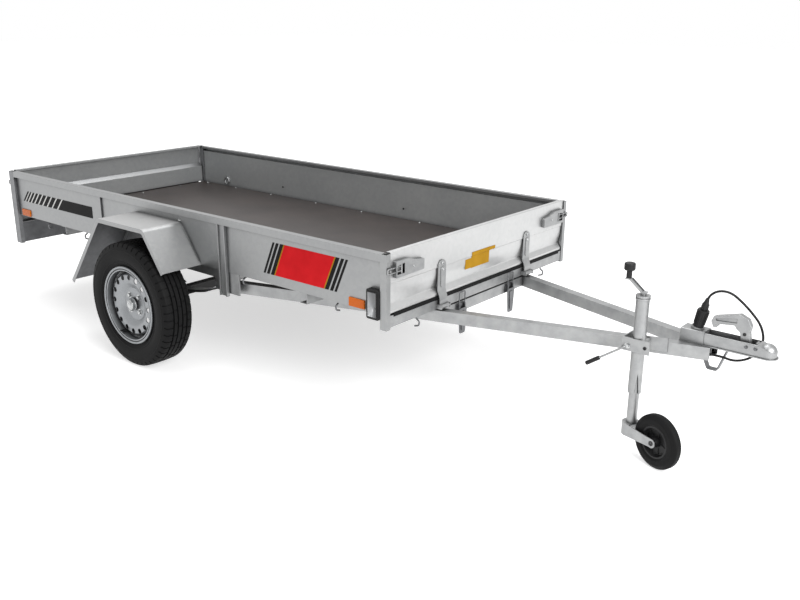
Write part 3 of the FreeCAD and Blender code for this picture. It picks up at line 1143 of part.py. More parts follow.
def wire_fittings():
    """Rope hooks under the edges, and lashing rings in saddles inside the corners."""
    hooks = []
    for side in (-1, 1):
        out = Vector(0, side, 0)
        for share in HOOK_SHARES:
            x = size("bed_rear") + share * size("bed_length")
            root = Vector(x, side * (size("panel_in") - size("hook_root")), size("side_bottom"))
            hooks.append(rope_hook(root, out))
        front = Vector(size("beam_face") - 2 * size("hook_wire"), side * size("front_hook_side"),
                       size("beam_bottom"))
        hooks.append(rope_hook(front, Vector(1, 0, 0)))
    node("rope_hooks", feature("hooks", Part.makeCompound(hooks)))
    radius, wire, saddle = size("ring_radius"), size("ring_wire"), size("saddle_width")
    rings = []
    for x in (size("bed_rear") + size("ring_from_end"), size("bed_front") - size("ring_from_end")):
        for side in (-1, 1):
            y = side * size("panel_in")
            middle = Vector(x, y - side * wire, size("ring_height"))
            ring = Part.makeTorus(radius, wire, middle, Vector(0, 1, 0))
            deep, tall = size("saddle_deep"), size("saddle_height")
            low = Vector(x - saddle / 2, min(y, y - side * deep), size("ring_height") + radius - tall / 2)
            block = softened(Part.makeBox(saddle, deep, tall, low), 3, lambda edge: edge.BoundBox.YLength > 5)
            rings.append(ring.fuse(block).removeSplitter())
    node("lashing_rings", feature("rings", Part.makeCompound(rings)))


def cable_and_plug():
    """The plug in its holder on the head, and the cable from the right arm's end to it."""
    x, top = size("plug_place"), size("coupling_top") + size("cover_rise")
    place = Placement(Vector(x, 0, size("plug_bottom")), Rotation(Vector(0, 1, 0), size("plug_tilt")))
    body = Part.makeCone(size("plug_radius") - 2, size("plug_radius"), size("plug_length"))
    neck = Part.makeCylinder(size("plug_neck_radius"), size("plug_neck_length"),
                             Vector(0, 0, size("plug_length")))
    node("plug", feature("plug_body", body.fuse(neck).removeSplitter(), place))
    cup = Part.makeCylinder(size("plug_radius") + 2, top, Vector(0, 0, -top - size("slide_gap")))
    cup.Placement = place
    below = Part.makeBox(2 * x, 2 * x, top, Vector(0, -x, 0))
    node("plug_holder", feature("holder", cup.cut(below)))
    end = place.multVec(Vector(0, 0, size("plug_length") + size("plug_neck_length") + size("slide_gap")))
    width, height = size("arm_width") - 2 * size("arm_wall"), size("arm_height") - 2 * size("arm_wall")
    slope = (size("pivot_side") - size("arm_end_side")) / (size("arm_end_place") - size("pivot_place"))
    ahead = Vector(1, slope, 0).normalize()
    arm_end = Vector(size("arm_end_place"), -size("arm_end_side"), size("pivot_height"))
    inside = arm_end - ahead * size("gland_back")
    mouth = inside - Vector(0, 0, size("cable_drop"))
    between = [Vector(size("nose_end") - back, side, high) for back, side, high in CABLE_ROUTE]
    cord_tube("trailer_cable", [mouth, mouth + ahead * size("cable_run")] + between + [end])
    block = Part.makeBox(size("gland_thick"), width, height,
                         Vector(-size("gland_thick"), -width / 2, -height / 2))
    turn = Rotation(Vector(0, 0, 1), math.degrees(math.atan(slope)))
    node("cable_gland", feature("gland", block, Placement(inside, turn)))


def cord_tube(name, route):
    """The cable's tube: straight runs joined by tangent arcs as large as the runs allow."""
    radii = []
    for i in range(1, len(route) - 1):
        back, ahead = route[i - 1] - route[i], route[i + 1] - route[i]
        turn = math.pi - back.getAngle(ahead)
        radii.append(0.45 * min(back.Length, ahead.Length) / math.tan(turn / 2))
    spine = path_wire(route, radii)
    radius = size("cable_radius")
    ring = Part.Wire(Part.Circle(route[0], route[1] - route[0], radius).toShape())
    tube = spine.makePipeShell([ring], True, False)
    print("cable radii", [round(r) for r in radii], "runs",
          [round((b - a).Length) for a, b in zip(route, route[1:])], "length", round(spine.Length),
          "volume ratio", round(tube.Volume / (math.pi * radius ** 2 * spine.Length), 4))
    node(name, feature(name + "_tube", tube))


side_panels()
posts()
floor()
end_beams()
middle_beam()
bearers()
springs()
wheels()
mudguards()
end_boards()
drawbar_arms()
latch_beam()
coupling()
jockey()
rear_panel()
side_fittings()
wire_fittings()
cable_and_plug()
doc.recompute()

# Checks, then one file for each sub-part
for item in doc.Objects:
    if "Invalid" in item.State or "Error" in item.State:
        raise RuntimeError("%s failed: %s" % (item.Label, item.State))
os.makedirs("parts", exist_ok=True)
for name, part in NODES.items():
    shape = part.Shape
    if shape.isNull() or not shape.isValid() or not shape.Solids:
        raise RuntimeError(name + " has no valid solid")
    shape.exportStep("parts/%s.step" % name)
    box_of = shape.BoundBox
    print("%-20s %2d  x %8.1f %8.1f  y %8.1f %8.1f  z %7.1f %7.1f" % (
        name, len(shape.Solids), box_of.XMin, box_of.XMax, box_of.YMin, box_of.YMax,
        box_of.ZMin, box_of.ZMax))
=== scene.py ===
# Looks of a galvanised single-axle box trailer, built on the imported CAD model.
# Lengths are in metres, and in mm where a name, a comment or placed() says so.
import bpy
import json
import math
from mathutils import Matrix, Vector

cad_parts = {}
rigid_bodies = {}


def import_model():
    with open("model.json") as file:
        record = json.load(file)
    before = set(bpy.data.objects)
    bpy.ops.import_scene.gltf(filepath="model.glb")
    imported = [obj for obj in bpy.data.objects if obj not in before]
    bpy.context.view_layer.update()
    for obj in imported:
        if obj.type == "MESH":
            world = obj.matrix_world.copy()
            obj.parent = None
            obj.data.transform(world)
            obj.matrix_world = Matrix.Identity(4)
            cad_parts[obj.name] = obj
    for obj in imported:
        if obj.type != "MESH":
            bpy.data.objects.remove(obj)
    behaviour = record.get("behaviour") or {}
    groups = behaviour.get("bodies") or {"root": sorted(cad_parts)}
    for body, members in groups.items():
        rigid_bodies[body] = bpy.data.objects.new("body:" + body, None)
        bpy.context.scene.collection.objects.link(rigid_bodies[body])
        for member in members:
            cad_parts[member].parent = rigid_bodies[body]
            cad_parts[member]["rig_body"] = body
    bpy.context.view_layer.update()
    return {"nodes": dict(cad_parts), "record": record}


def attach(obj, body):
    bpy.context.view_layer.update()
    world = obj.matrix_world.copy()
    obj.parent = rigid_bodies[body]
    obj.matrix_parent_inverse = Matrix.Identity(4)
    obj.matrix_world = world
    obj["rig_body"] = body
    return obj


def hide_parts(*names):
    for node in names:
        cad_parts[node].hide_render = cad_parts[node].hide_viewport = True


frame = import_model()
NODES = frame["nodes"]
JOINTS = {joint["name"]: joint for joint in frame["record"]["behaviour"]["joints"]}

# Places on the CAD model in mm: x forward, y to the left, z up
AXLE_X = -602
AXLE_Z = 289
WHEEL_Y = 794.5
SIDE_FACE = 642
FLOOR_TOP = 492
REAR_FACE = -1948
FRONT_FACE = 755
SIDES = (("right", -1), ("left", 1))

# Blender's names of the shader nodes that the finishes share
NOISE = "ShaderNodeTexNoise"
CELLS = "ShaderNodeTexVoronoi"
WAVES = "ShaderNodeTexWave"
STOPS = "ShaderNodeValToRGB"
RANGE = "ShaderNodeMapRange"
BUMP = "ShaderNodeBump"
MATH = "ShaderNodeMath"
MIX = "ShaderNodeMix"


# Small helpers for materials
def linear(code):
    """An sRGB hex colour as linear red, green, blue and alpha."""
    parts = [int(code[i:i + 2], 16) / 255 for i in (1, 3, 5)]
    return [p / 12.92 if p <= 0.04045 else ((p + 0.055) / 1.055) ** 2.4 for p in parts] + [1.0]


def colour_stops(node, stops):
    """Sets a colour ramp's stops, given as (place, hex colour)."""
    while len(node.color_ramp.elements) < len(stops):
        node.color_ramp.elements.new(0.5)
    for element, (place, code) in zip(node.color_ramp.elements, stops):
        element.position = place
        element.color = linear(code)


def link(tree, node, sources):
    """Links a node's inputs to sources, each an output or a node whose first output is meant."""
    for name, source in sources.items():
        output = source.outputs[0] if isinstance(source, bpy.types.Node) else source
        tree.links.new(output, node.inputs[name])


def add_node(tree, kind, settings=None, sources=None):
    """A shader node with its settings and links. A setting names an input, a property or the stops."""
    node = tree.nodes.new(kind)
    for name, value in (settings or {}).items():
        if name == "stops":
            colour_stops(node, value)
        elif isinstance(name, int) or name in node.inputs:
            node.inputs[name].default_value = value
        else:
            setattr(node, name, value)
    link(tree, node, sources or {})
    return node


def new_material(name, **settings):
    """A material, its node tree, its shader and the object coordinates."""
    material = bpy.data.materials.new(name)
    material.use_nodes = True
    tree = material.node_tree
    shader = tree.nodes["Principled BSDF"]
    for key, value in settings.items():
        shader.inputs[key.replace("_", " ")].default_value = value
    where = add_node(tree, "ShaderNodeTexCoord").outputs["Object"]
    return material, tree, shader, where


def per_metre(size):
    """The scale of a pattern whose spots or cells measure so many mm across."""
    return 1000 / size


def occlusion_shade(tree, colour, shade):
    """A colour that is darker in corners and under edges: painted shade, from ambient occlusion."""
    reach = 0.03
    hidden = add_node(tree, "ShaderNodeAmbientOcclusion", {"samples": 6, "Distance": reach})
    # The painted shade: darker the more the nearby geometry closes in
    dust = add_node(tree, STOPS, {"stops": ((0.3, shade), (0.85, "#ffffff"))}, {"Fac": hidden.outputs["AO"]})
    first_colour, second_colour, mixed_colour = 6, 7, 2
    mixed = add_node(tree, MIX, {"data_type": "RGBA", "blend_type": "MULTIPLY", "Factor": 1.0},
                     {first_colour: colour, second_colour: dust})
    return mixed.outputs[mixed_colour]


# Materials
def galvanised_sheet(name, low, high, metal=1.0):
    """Zinc-coated steel sheet: a satin grey metal, with faint crystals about 15 mm across."""
    material, tree, shader, where = new_material(name, Metallic=metal)
    crystals = add_node(tree, CELLS, {"Scale": per_metre(15.4)}, {"Vector": where})
    grey = add_node(tree, "ShaderNodeSeparateColor", sources={"Color": crystals.outputs["Color"]})
    cloud = add_node(tree, NOISE, {"Scale": per_metre(450), "Detail": 3.0}, {"Vector": where})
    first_value, second_value = 2, 3
    both = add_node(tree, MIX, {"Factor": 0.22}, {first_value: cloud, second_value: grey})
    tone = add_node(tree, STOPS, {"stops": ((0.25, low), (0.75, high))}, {"Fac": both})
    # The base colour carries painted shade in corners and under edges
    link(tree, shader, {
        "Base Color": occlusion_shade(tree, tone, "#b4b4b4"),
        "Roughness": add_node(tree, RANGE, {"To Min": 0.36, "To Max": 0.46}, {"Value": both}),
    })
    return material


def dipped_zinc(name, low, high):
    """Steel dipped in zinc after welding: softly mottled in 45 mm clouds and a little lumpy."""
    material, tree, shader, where = new_material(name, Metallic=0.9)
    mottle = add_node(tree, NOISE, {"Scale": per_metre(45), "Detail": 5.0, "Roughness": 0.6}, {"Vector": where})
    lumps = add_node(tree, NOISE, {"Scale": per_metre(8.3), "Detail": 3.0}, {"Vector": where})
    tone = add_node(tree, STOPS, {"stops": ((0.3, low), (0.7, high))}, {"Fac": mottle})
    # The base colour carries painted shade in corners and under edges
    link(tree, shader, {
        "Base Color": occlusion_shade(tree, tone, "#9a9a9a"),
        "Roughness": add_node(tree, RANGE, {"To Min": 0.36, "To Max": 0.52}, {"Value": mottle}),
        "Normal": add_node(tree, BUMP, {"Strength": 0.16, "Distance": 0.0008}, {"Height": lumps}),
    })
    return material


def bright_zinc():
    """Zinc-plated turned steel, for bolts, pins and rods: brighter and smoother, with 11 mm stains."""
    material, tree, shader, where = new_material("bright_zinc", Metallic=0.95)
    stain = add_node(tree, NOISE, {"Scale": per_metre(11), "Detail": 4.0}, {"Vector": where})
    link(tree, shader, {
        "Base Color": add_node(tree, STOPS, {"stops": ((0.3, "#9a9c9d"), (0.7, "#c2c3c3"))}, {"Fac": stain}),
        "Roughness": add_node(tree, RANGE, {"To Min": 0.20, "To Max": 0.34}, {"Value": stain}),
    })
    return material


def film_plywood():
    """Birch plywood faced with dark brown film, which has a fine mesh pressed in for grip."""
    material, tree, shader, where = new_material("film_plywood", Roughness=0.42)
    tone = add_node(tree, NOISE, {"Scale": per_metre(200), "Detail": 6.0}, {"Vector": where})
    # The pressed mesh is about 3 mm, drawn at 12 mm so that it shows
    mesh_size = 0.012
    mesh_scale = math.pi / 10 / mesh_size
    lines = [add_node(tree, WAVES, {"Scale": mesh_scale, "bands_direction": way}, {"Vector": where})
             for way in ("X", "Y")]
    mesh = add_node(tree, MATH, {"operation": "MINIMUM"},
                    {0: lines[0].outputs["Fac"], 1: lines[1].outputs["Fac"]})
    link(tree, shader, {
        "Base Color": add_node(tree, STOPS, {"stops": ((0.3, "#251f1d"), (0.7, "#332c29"))}, {"Fac": tone}),
        "Normal": add_node(tree, BUMP, {"Strength": 0.25, "Distance": 0.0006}, {"Height": mesh}),
    })
    return material


def tyre_rubber():
    """Vulcanised road-tyre rubber: near black, dull, with a slight bloom in 110 mm patches."""
    material, tree, shader, where = new_material("tyre_rubber", Specular_IOR_Level=0.15)
    bloom = add_node(tree, NOISE, {"Scale": per_metre(110), "Detail": 5.0}, {"Vector": where})
    grain = add_node(tree, NOISE, {"Scale": per_metre(1.4), "Detail": 2.0}, {"Vector": where})
    link(tree, shader, {
        "Base Color": add_node(tree, STOPS, {"stops": ((0.3, "#090909"), (0.7, "#0f0f10"))}, {"Fac": bloom}),
        "Roughness": add_node(tree, RANGE, {"To Min": 0.55, "To Max": 0.72}, {"Value": bloom}),
        "Normal": add_node(tree, BUMP, {"Strength": 0.3, "Distance": 0.0004}, {"Height": grain}),
    })
    return material


def wheel_paint():
    """Silver enamel baked on pressed steel: metal flake under a soft gloss."""
    material, tree, shader, where = new_material("wheel_paint", Metallic=0.7, Roughness=0.36)
    # Real flake is about 0.05 mm, drawn at 1.1 mm so that it shows
    flake = add_node(tree, NOISE, {"Scale": per_metre(1.1), "Detail": 2.0}, {"Vector": where})
    tone = add_node(tree, STOPS, {"stops": ((0.35, "#888a8d"), (0.65, "#9ea1a3"))}, {"Fac": flake})
    # The base colour carries painted shade in corners and under edges
    link(tree, shader, {"Base Color": occlusion_shade(tree, tone, "#7a7a7a")})
    return material


def black_enamel_and_shade():
    """Black chassis paint on forged and rolled steel: half gloss, dusty, with 3 mm orange peel. Also laid on as
    painted shade in the rims and the jockey clamp's hole.
    """
    material, tree, shader, where = new_material("black_enamel_and_shade")
    dust = add_node(tree, NOISE, {"Scale": per_metre(83), "Detail": 5.0}, {"Vector": where})
    peel = add_node(tree, NOISE, {"Scale": per_metre(2.9)}, {"Vector": where})
    link(tree, shader, {
        "Base Color": add_node(tree, STOPS, {"stops": ((0.35, "#161617"), (0.75, "#29292a"))}, {"Fac": dust}),
        "Roughness": add_node(tree, RANGE, {"To Min": 0.38, "To Max": 0.55}, {"Value": dust}),
        "Normal": add_node(tree, BUMP, {"Strength": 0.2, "Distance": 0.0004}, {"Height": peel}),
    })
    return material


def moulded_plastic():
    """Moulded black polyamide: even black with a spark-eroded grain."""
    material, tree, shader, where = new_material("moulded_plastic", Roughness=0.5, Specular_IOR_Level=0.3)
    tone = add_node(tree, NOISE, {"Scale": per_metre(33), "Detail": 3.0}, {"Vector": where})
    # The eroded grain is about 0.1 mm, drawn at 0.9 mm so that it shows
    grain = add_node(tree, NOISE, {"Scale": per_metre(0.9)}, {"Vector": where})
    link(tree, shader, {
        "Base Color": add_node(tree, STOPS, {"stops": ((0.3, "#111112"), (0.7, "#171718"))}, {"Fac": tone}),
        "Normal": add_node(tree, BUMP, {"Strength": 0.25, "Distance": 0.0003}, {"Height": grain}),
    })
    return material


def cable_sheath():
    """Soft PVC sheath: black and smooth with a low sheen, faintly clouded every 17 mm."""
    material, tree, shader, where = new_material("cable_sheath", Roughness=0.5, Specular_IOR_Level=0.25)
    tone = add_node(tree, NOISE, {"Scale": per_metre(17), "Detail": 2.0}, {"Vector": where})
    link(tree, shader, {
        "Base Color": add_node(tree, STOPS, {"stops": ((0.3, "#0c0c0d"), (0.7, "#121213"))}, {"Fac": tone}),
    })
    return material


def lens(name, dark, light, **settings):
    """Moulded acrylic lens over a grid of 5 mm prisms: clear and glossy, with bright points."""
    material, tree, shader, where = new_material(name, Roughness=0.12, **settings)
    prisms = add_node(tree, CELLS, {"Scale": per_metre(5), "Randomness": 0.0}, {"Vector": where})
    link(tree, shader, {
        "Base Color": add_node(tree, STOPS, {"stops": ((0.1, light), (0.6, dark))}, {"Fac": prisms}),
        "Normal": add_node(tree, BUMP, {"Strength": 0.5, "Distance": 0.001}, {"Height": prisms}),
    })
    return material


def vinyl_film(name, dark, light):
    """Self-adhesive vinyl film: even colour, dull, with a faint ripple about 55 mm long."""
    material, tree, shader, where = new_material(name, Roughness=0.6, Specular_IOR_Level=0.12)
    ripple = add_node(tree, NOISE, {"Scale": per_metre(55), "Detail": 2.0}, {"Vector": where})
    link(tree, shader, {
        "Base Color": add_node(tree, STOPS, {"stops": ((0.3, dark), (0.7, light))}, {"Fac": ripple}),
        "Normal": add_node(tree, BUMP, {"Strength": 0.08, "Distance": 0.0005}, {"Height": ripple}),
    })
    return material


def white_plate():
    """Blank reflective number plate: off-white film on pressed aluminium, evenly lit."""
    material, tree, shader, where = new_material("white_plate", Roughness=0.3)
    tone = add_node(tree, NOISE, {"Scale": per_metre(125)}, {"Vector": where})
    link(tree, shader, {
        "Base Color": add_node(tree, STOPS, {"stops": ((0.3, "#dcdcd8"), (0.7, "#e6e6e2"))}, {"Fac": tone}),
    })
    return material


SHEET = galvanised_sheet("galvanised_sheet", "#8f9091", "#999a9a")
# Painted light: a lighter copy of the sheet for the end boards
BOARD_PAINTED_LIGHT = galvanised_sheet("galvanised_board_painted_light", "#bcbdbd", "#c7c7c7")
# Painted shading: a copy of the sheet for the inward faces of the walls and boards
INWARD_PAINTED_SHADING = galvanised_sheet("galvanised_inside_painted_shading", "#989a9b", "#a5a6a6", 0.6)
GUARD_SHEET = galvanised_sheet("galvanised_guard", "#929394", "#9d9e9e", 0.7)
# Painted light: a lighter copy of the mudguard sheet for the mudguards' tops
GUARD_TOP_PAINTED_LIGHT = galvanised_sheet("galvanised_guard_top_painted_light", "#9d9e9e", "#a8a8a8", 0.35)
DIPPED = dipped_zinc("dipped_zinc", "#8f9091", "#a4a5a5")
# A darker copy of the dipped zinc, for the rear posts
DARKER_ZINC = dipped_zinc("darker_dipped_zinc", "#757678", "#88898b")
# Darker zinc for latches, hooks and bolts, and painted shade on the rear light panel and under the mudguards
DULL_ZINC_AND_SHADE = dipped_zinc("dull_zinc_and_painted_shade", "#626365", "#77787a")
BRIGHT = bright_zinc()
PLYWOOD = film_plywood()
RUBBER = tyre_rubber()
WHEEL = wheel_paint()
# Black enamel, also laid on as painted shade in the rims' hollows, vents, well and lip groove, and in the
# jockey clamp's hole
ENAMEL_AND_SHADE = black_enamel_and_shade()
PLASTIC = moulded_plastic()
SHEATH = cable_sheath()
RED_LENS = lens("red_lens", "#7a0a0c", "#b01216")
CLEAR_LENS = lens("clear_lens", "#a9abad", "#d3d4d5", Specular_IOR_Level=0.3)
AMBER_LENS = lens("amber_lens", "#cc5c06", "#f59016", Specular_IOR_Level=0.2)
PLATE = white_plate()
BLACK_FILM = vinyl_film("black_film", "#0d0d0e", "#151516")
WHITE_FILM = vinyl_film("white_film", "#e4e4e2", "#eeeeec")
RED_FILM = vinyl_film("red_film", "#c8131b", "#d41a21")
YELLOW_FILM = vinyl_film("yellow_film", "#9c7415", "#a97f1c")


# Small helpers for pieces
def deselect():
    """Leaves edit mode with nothing selected."""
    if bpy.context.mode != "OBJECT":
        bpy.ops.object.mode_set(mode="OBJECT")
    bpy.ops.object.select_all(action="DESELECT")


def pick(piece):
    """Makes one piece the only one selected, and the active one."""
    deselect()
    piece.select_set(True)
    bpy.context.view_layer.objects.active = piece


def edit_all(piece):
    """Opens a piece in edit mode with all of it selected."""
    pick(piece)
    bpy.ops.object.mode_set(mode="EDIT")
    bpy.ops.mesh.select_all(action="SELECT")


def edit_faces(piece, chosen):
    """Opens a piece in edit mode with only the faces selected whose number is in the list."""
    pick(piece)
    bpy.ops.object.mode_set(mode="EDIT")
    bpy.ops.mesh.select_all(action="DESELECT")
    bpy.ops.object.mode_set(mode="OBJECT")
    for index in chosen:
        piece.data.polygons[index].select = True
    bpy.ops.object.mode_set(mode="EDIT")
    bpy.context.tool_settings.mesh_select_mode = (False, False, True)


def edit_done():
    """Closes edit mode, which keeps the new shape."""
    bpy.ops.object.mode_set(mode="OBJECT")


def merged(pieces):
    """Joins pieces into the first of them."""
    deselect()
    for piece in pieces:
        piece.select_set(True)
    bpy.context.view_layer.objects.active = pieces[0]
    bpy.ops.object.join()
    return pieces[0]


def split_at(piece, place, direction):
    """Cuts the faces of a piece along a plane, and keeps both sides."""
    edit_all(piece)
    bpy.ops.mesh.bisect(plane_co=place, plane_no=direction)
    edit_done()


def tinted(piece, material, test):
    """Gives another material to the faces with every corner, drawn in a little, that passes the test."""
    piece.data.materials.append(material)
    index = len(piece.data.materials) - 1
    for face in piece.data.polygons:
        corners = [piece.data.vertices[number].co.lerp(face.center, 0.03) for number in face.vertices]
        if all(test(corner, face.normal) for corner in corners):
            face.material_index = index


def settle(piece, name, material, body, smooth=35):
    """Ends a new piece: place kept in its mesh, curves smooth below an angle, on its body."""
    piece.name = name
    pick(piece)
    bpy.ops.object.transform_apply(location=True, rotation=True, scale=True)
    if not piece.data.materials:
        piece.data.materials.append(material)
    bpy.ops.object.shade_smooth_by_angle(angle=math.radians(smooth))
    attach(piece, body)
    return piece


def copied(model, places, name, material, body):
    """Copies of one model, each with its own place, joined into one piece."""
    copies = []
    for place in places:
        copy = bpy.data.objects.new(name, model.data.copy())
        bpy.context.scene.collection.objects.link(copy)
        copy.data.transform(place)
        copies.append(copy)
    return settle(merged(copies), name, material, body)


def placed(x, y, z, facing="Z", scale=1.0, turn=0.0):
    """Where a copy goes: its foot at a point in mm, its top facing along an axis or a direction."""
    ways = {"Z": (0, 0, 1), "X": (1, 0, 0), "-X": (-1, 0, 0), "Y": (0, 1, 0), "-Y": (0, -1, 0)}
    way = Vector(ways[facing] if isinstance(facing, str) else facing)
    turned_to = way.to_track_quat("Z", "Y").to_matrix().to_4x4() @ Matrix.Rotation(turn, 4, "Z")
    return Matrix.Translation((x / 1000, y / 1000, z / 1000)) @ turned_to @ Matrix.Scale(scale, 4)


def dropped(model):
    """Removes a model that was there to be copied."""
    bpy.data.objects.remove(model, do_unlink=True)


# CAD nodes with their finish
EDGE_ROUND = 0.0008
CREASE = math.radians(32)
FINISHES = {
    "galvanised": DIPPED, "plywood": PLYWOOD, "tyre": RUBBER, "wheel_silver": WHEEL,
    "black_steel": ENAMEL_AND_SHADE, "black_plastic": PLASTIC, "cable_rubber": SHEATH, "lamp_red": RED_LENS,
    "lamp_clear": CLEAR_LENS, "reflector_orange": AMBER_LENS, "plate_white": PLATE,
}
OTHER_FINISHES = (
    (SHEET, ("side_panel_right", "side_panel_left", "front_posts", "mid_posts", "spring_rails")),
    # Painted light: the end boards get a lighter copy of the sheet
    (BOARD_PAINTED_LIGHT, ("headboard_panel", "tailgate_panel")),
    (GUARD_SHEET, ("mudguard_right", "mudguard_left")),
    # On the rear light panel this darker zinc is painted shade
    (DULL_ZINC_AND_SHADE, ("tilt_latches", "rope_hooks", "safety_loop", "rear_light_panel")),
    (DARKER_ZINC, ("rear_posts",)),
    (BRIGHT, ("lashing_rings",)),
    (PLASTIC, ("marker_lamps", "tail_lamps")),
)
MADE_ANEW = ("trailer_cable", "tyre_right", "tyre_left")


def dressed(node, material):
    """A copy of a CAD node with merged vertices, rounded edges, smooth curves and flat faces."""
    source = NODES[node]
    piece = bpy.data.objects.new(node + "_finish", source.data.copy())
    bpy.context.scene.collection.objects.link(piece)
    piece.data.materials.clear()
    piece.data.materials.append(material)
    edit_all(piece)
    bpy.ops.mesh.remove_doubles(threshold=0.00001)
    bpy.ops.mesh.dissolve_limited(angle_limit=math.radians(0.5))
    edit_done()
    rounding = piece.modifiers.new("rounding", "BEVEL")
    rounding.width = EDGE_ROUND
    rounding.segments = 2
    rounding.limit_method = "ANGLE"
    rounding.angle_limit = CREASE
    bpy.ops.object.modifier_apply(modifier="rounding")
    bpy.ops.object.shade_smooth_by_angle(angle=CREASE)
    normals = piece.modifiers.new("normals", "WEIGHTED_NORMAL")
    normals.keep_sharp = True
    normals.weight = 80
    bpy.ops.object.modifier_apply(modifier="normals")
    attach(piece, source["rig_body"])
    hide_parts(node)


def dressed_nodes():
    """Every CAD node in the finish of its material, or in its own where one is listed."""
    own = {node: finish for finish, nodes in OTHER_FINISHES for node in nodes}
    for part in frame["record"]["subparts"]:
        node, slot = part["node"], part["material_slot"]
        if node not in MADE_ANEW:
            dressed(node, own.get(node, FINISHES[slot]))


# Fasteners, modelled once at real size with their foot at the origin. Sizes and places in mm.
def hex_bolt(across, height):
    """Hexagon head with chamfered edges, on a washer."""
    deselect()
    bpy.ops.mesh.primitive_cylinder_add(vertices=6, radius=across / math.sqrt(3) / 1000,
                                        depth=height / 1000, location=(0, 0, height / 2000 + 0.0012))
    head = bpy.context.object
    edit_all(head)
    bpy.ops.mesh.bevel(offset=0.0007, segments=2)
    edit_done()
    bpy.ops.mesh.primitive_cylinder_add(vertices=24, radius=across * 0.85 / 1000, depth=0.0016,
                                        location=(0, 0, 0.0004))
    bolt = merged([head, bpy.context.object])
    bpy.ops.object.transform_apply(location=True, rotation=True, scale=True)
    return bolt


def round_head(radius, height):
    """Domed head with a round socket sunk in its top."""
    deselect()
    bpy.ops.mesh.primitive_cylinder_add(vertices=24, radius=radius / 1000, depth=height / 1000,
                                        location=(0, 0, height / 2000))
    head = bpy.context.object
    bpy.ops.object.transform_apply(location=True, rotation=True, scale=True)
    edit_faces(head, [face.index for face in head.data.polygons if face.normal.z > 0.9])
    bpy.ops.mesh.bevel(offset=height * 0.6 / 1000, segments=3)
    edit_done()
    highest = max(face.center.z for face in head.data.polygons)
    edit_faces(head, [face.index for face in head.data.polygons
                      if face.normal.z > 0.99 and face.center.z > highest - 0.00001])
    bpy.ops.mesh.inset(thickness=radius * 0.28 / 1000)
    bpy.ops.mesh.extrude_region_move(TRANSFORM_OT_translate={"value": (0, 0, -height * 0.45 / 1000)})
    edit_done()
    return head


def floor_screws(button):
    """Screws along the plywood's long edges over the cross beams, and along its two ends."""
    beams = (-1850, -1572, -1251, -867, -509, -94, 300, 640)
    places = [placed(x, y, FLOOR_TOP, "Z", 0.8) for x in beams for y in (-618, 618)]
    places += [placed(x, y, FLOOR_TOP, "Z", 0.8) for x in (-1880, 690) for y in (-420, -140, 140, 420)]
    copied(button, places, "floor_screws", BRIGHT, "bed")


def side_bolts(bolt):
    """Bolts beside the mudguards, and smaller ones low on the sides."""
    places = []
    for y, way in ((-SIDE_FACE, "-Y"), (SIDE_FACE, "Y")):
        places += [placed(x, y, z, way) for x, z in ((-478, 664), (-369, 478))]
        places += [placed(x, y, 520, way, 0.8) for x in (-1126, -1108, 700)]
    copied(bolt, places, "side_bolts", BRIGHT, "bed")


def board_fasteners(button):
    """Bolts of the hinge straps and rivets of the corner latches, on both boards."""
    for board, x, way, sign in (("headboard", FRONT_FACE - 5, "X", 1), ("tailgate", REAR_FACE + 5, "-X", -1)):
        bolts, rivets = [], []
        for y in (-315, 315):
            bolts += [placed(x + sign * 5, y, 622, way), placed(x + sign * 9, y, 598, way, 0.9)]
        for side in (-1, 1):
            rivets += [placed(x, side * 455, z, way, 0.6) for z in (637, 664)]
            rivets.append(placed(x + sign * 16, side * 510, 655, way, 0.7))
        copied(button, bolts, board + "_strap_bolts", BRIGHT, board)
        copied(button, rivets, board + "_latch_rivets", BRIGHT, board)


def frame_fasteners(bolt, nut):
    """Bolts of the rear beam, nuts of the spring clamps, and bolts of the coupling and jockey clamp."""
    beam = [placed(REAR_FACE + 3, y, 458, "-X", 0.9) for y in (-560, -200, 200, 560)]
    copied(bolt, beam, "beam_bolts", BRIGHT, "bed")
    clamps = [placed(AXLE_X + along, spring + across, 340)
              for spring in (-600, 600) for along in (-27, 27) for across in (-29.5, 29.5)]
    copied(nut, clamps, "spring_nuts", ENAMEL_AND_SHADE, "bed")
    coupling = [placed(x, y, 461, way, 0.55) for y, way in ((-31, "-Y"), (31, "Y")) for x in (1868, 1901)]
    copied(nut, coupling, "coupling_bolts", DULL_ZINC_AND_SHADE, "drawbar")
    copied(nut, [placed(1508, -204, 428, "-Y", 0.9)], "clamp_nut", BRIGHT, "drawbar")


def wheel_fasteners(nut):
    """Nuts at both ends of the jockey wheel's axle, and four bolts in each road wheel."""
    axle = JOINTS["jockey_wheel_spin"]
    centre, along = Vector(axle["pos_m"]) * 1000, Vector(axle["axis"]).normalized()
    ends = [placed(*(centre + way * 34 * along), way * along, 0.75) for way in (-1, 1)]
    copied(nut, ends, "fork_nuts", ENAMEL_AND_SHADE, "jockey_fork")
    bolt_circle, seat = 49, WHEEL_Y + 33
    for name, side in SIDES:
        ring = []
        for count in range(4):
            angle = math.radians(45 + 90 * count)
            ring.append(placed(AXLE_X + bolt_circle * math.sin(angle), side * seat,
                               AXLE_Z + bolt_circle * math.cos(angle), (0, side, 0), 1.15, turn=0.4 * count))
        copied(nut, ring, "wheel_bolts_" + name, BRIGHT, "wheel_" + name)


def fasteners():
    """Screws, rivets, bolts and nuts that the photograph shows, and their likes on the other side."""
    bolt, button, nut = hex_bolt(10, 5), round_head(7, 4), hex_bolt(15, 7)
    floor_screws(button)
    side_bolts(bolt)
    board_fasteners(button)
    frame_fasteners(bolt, nut)
    wheel_fasteners(nut)
    for model in (bolt, button, nut):
        dropped(model)


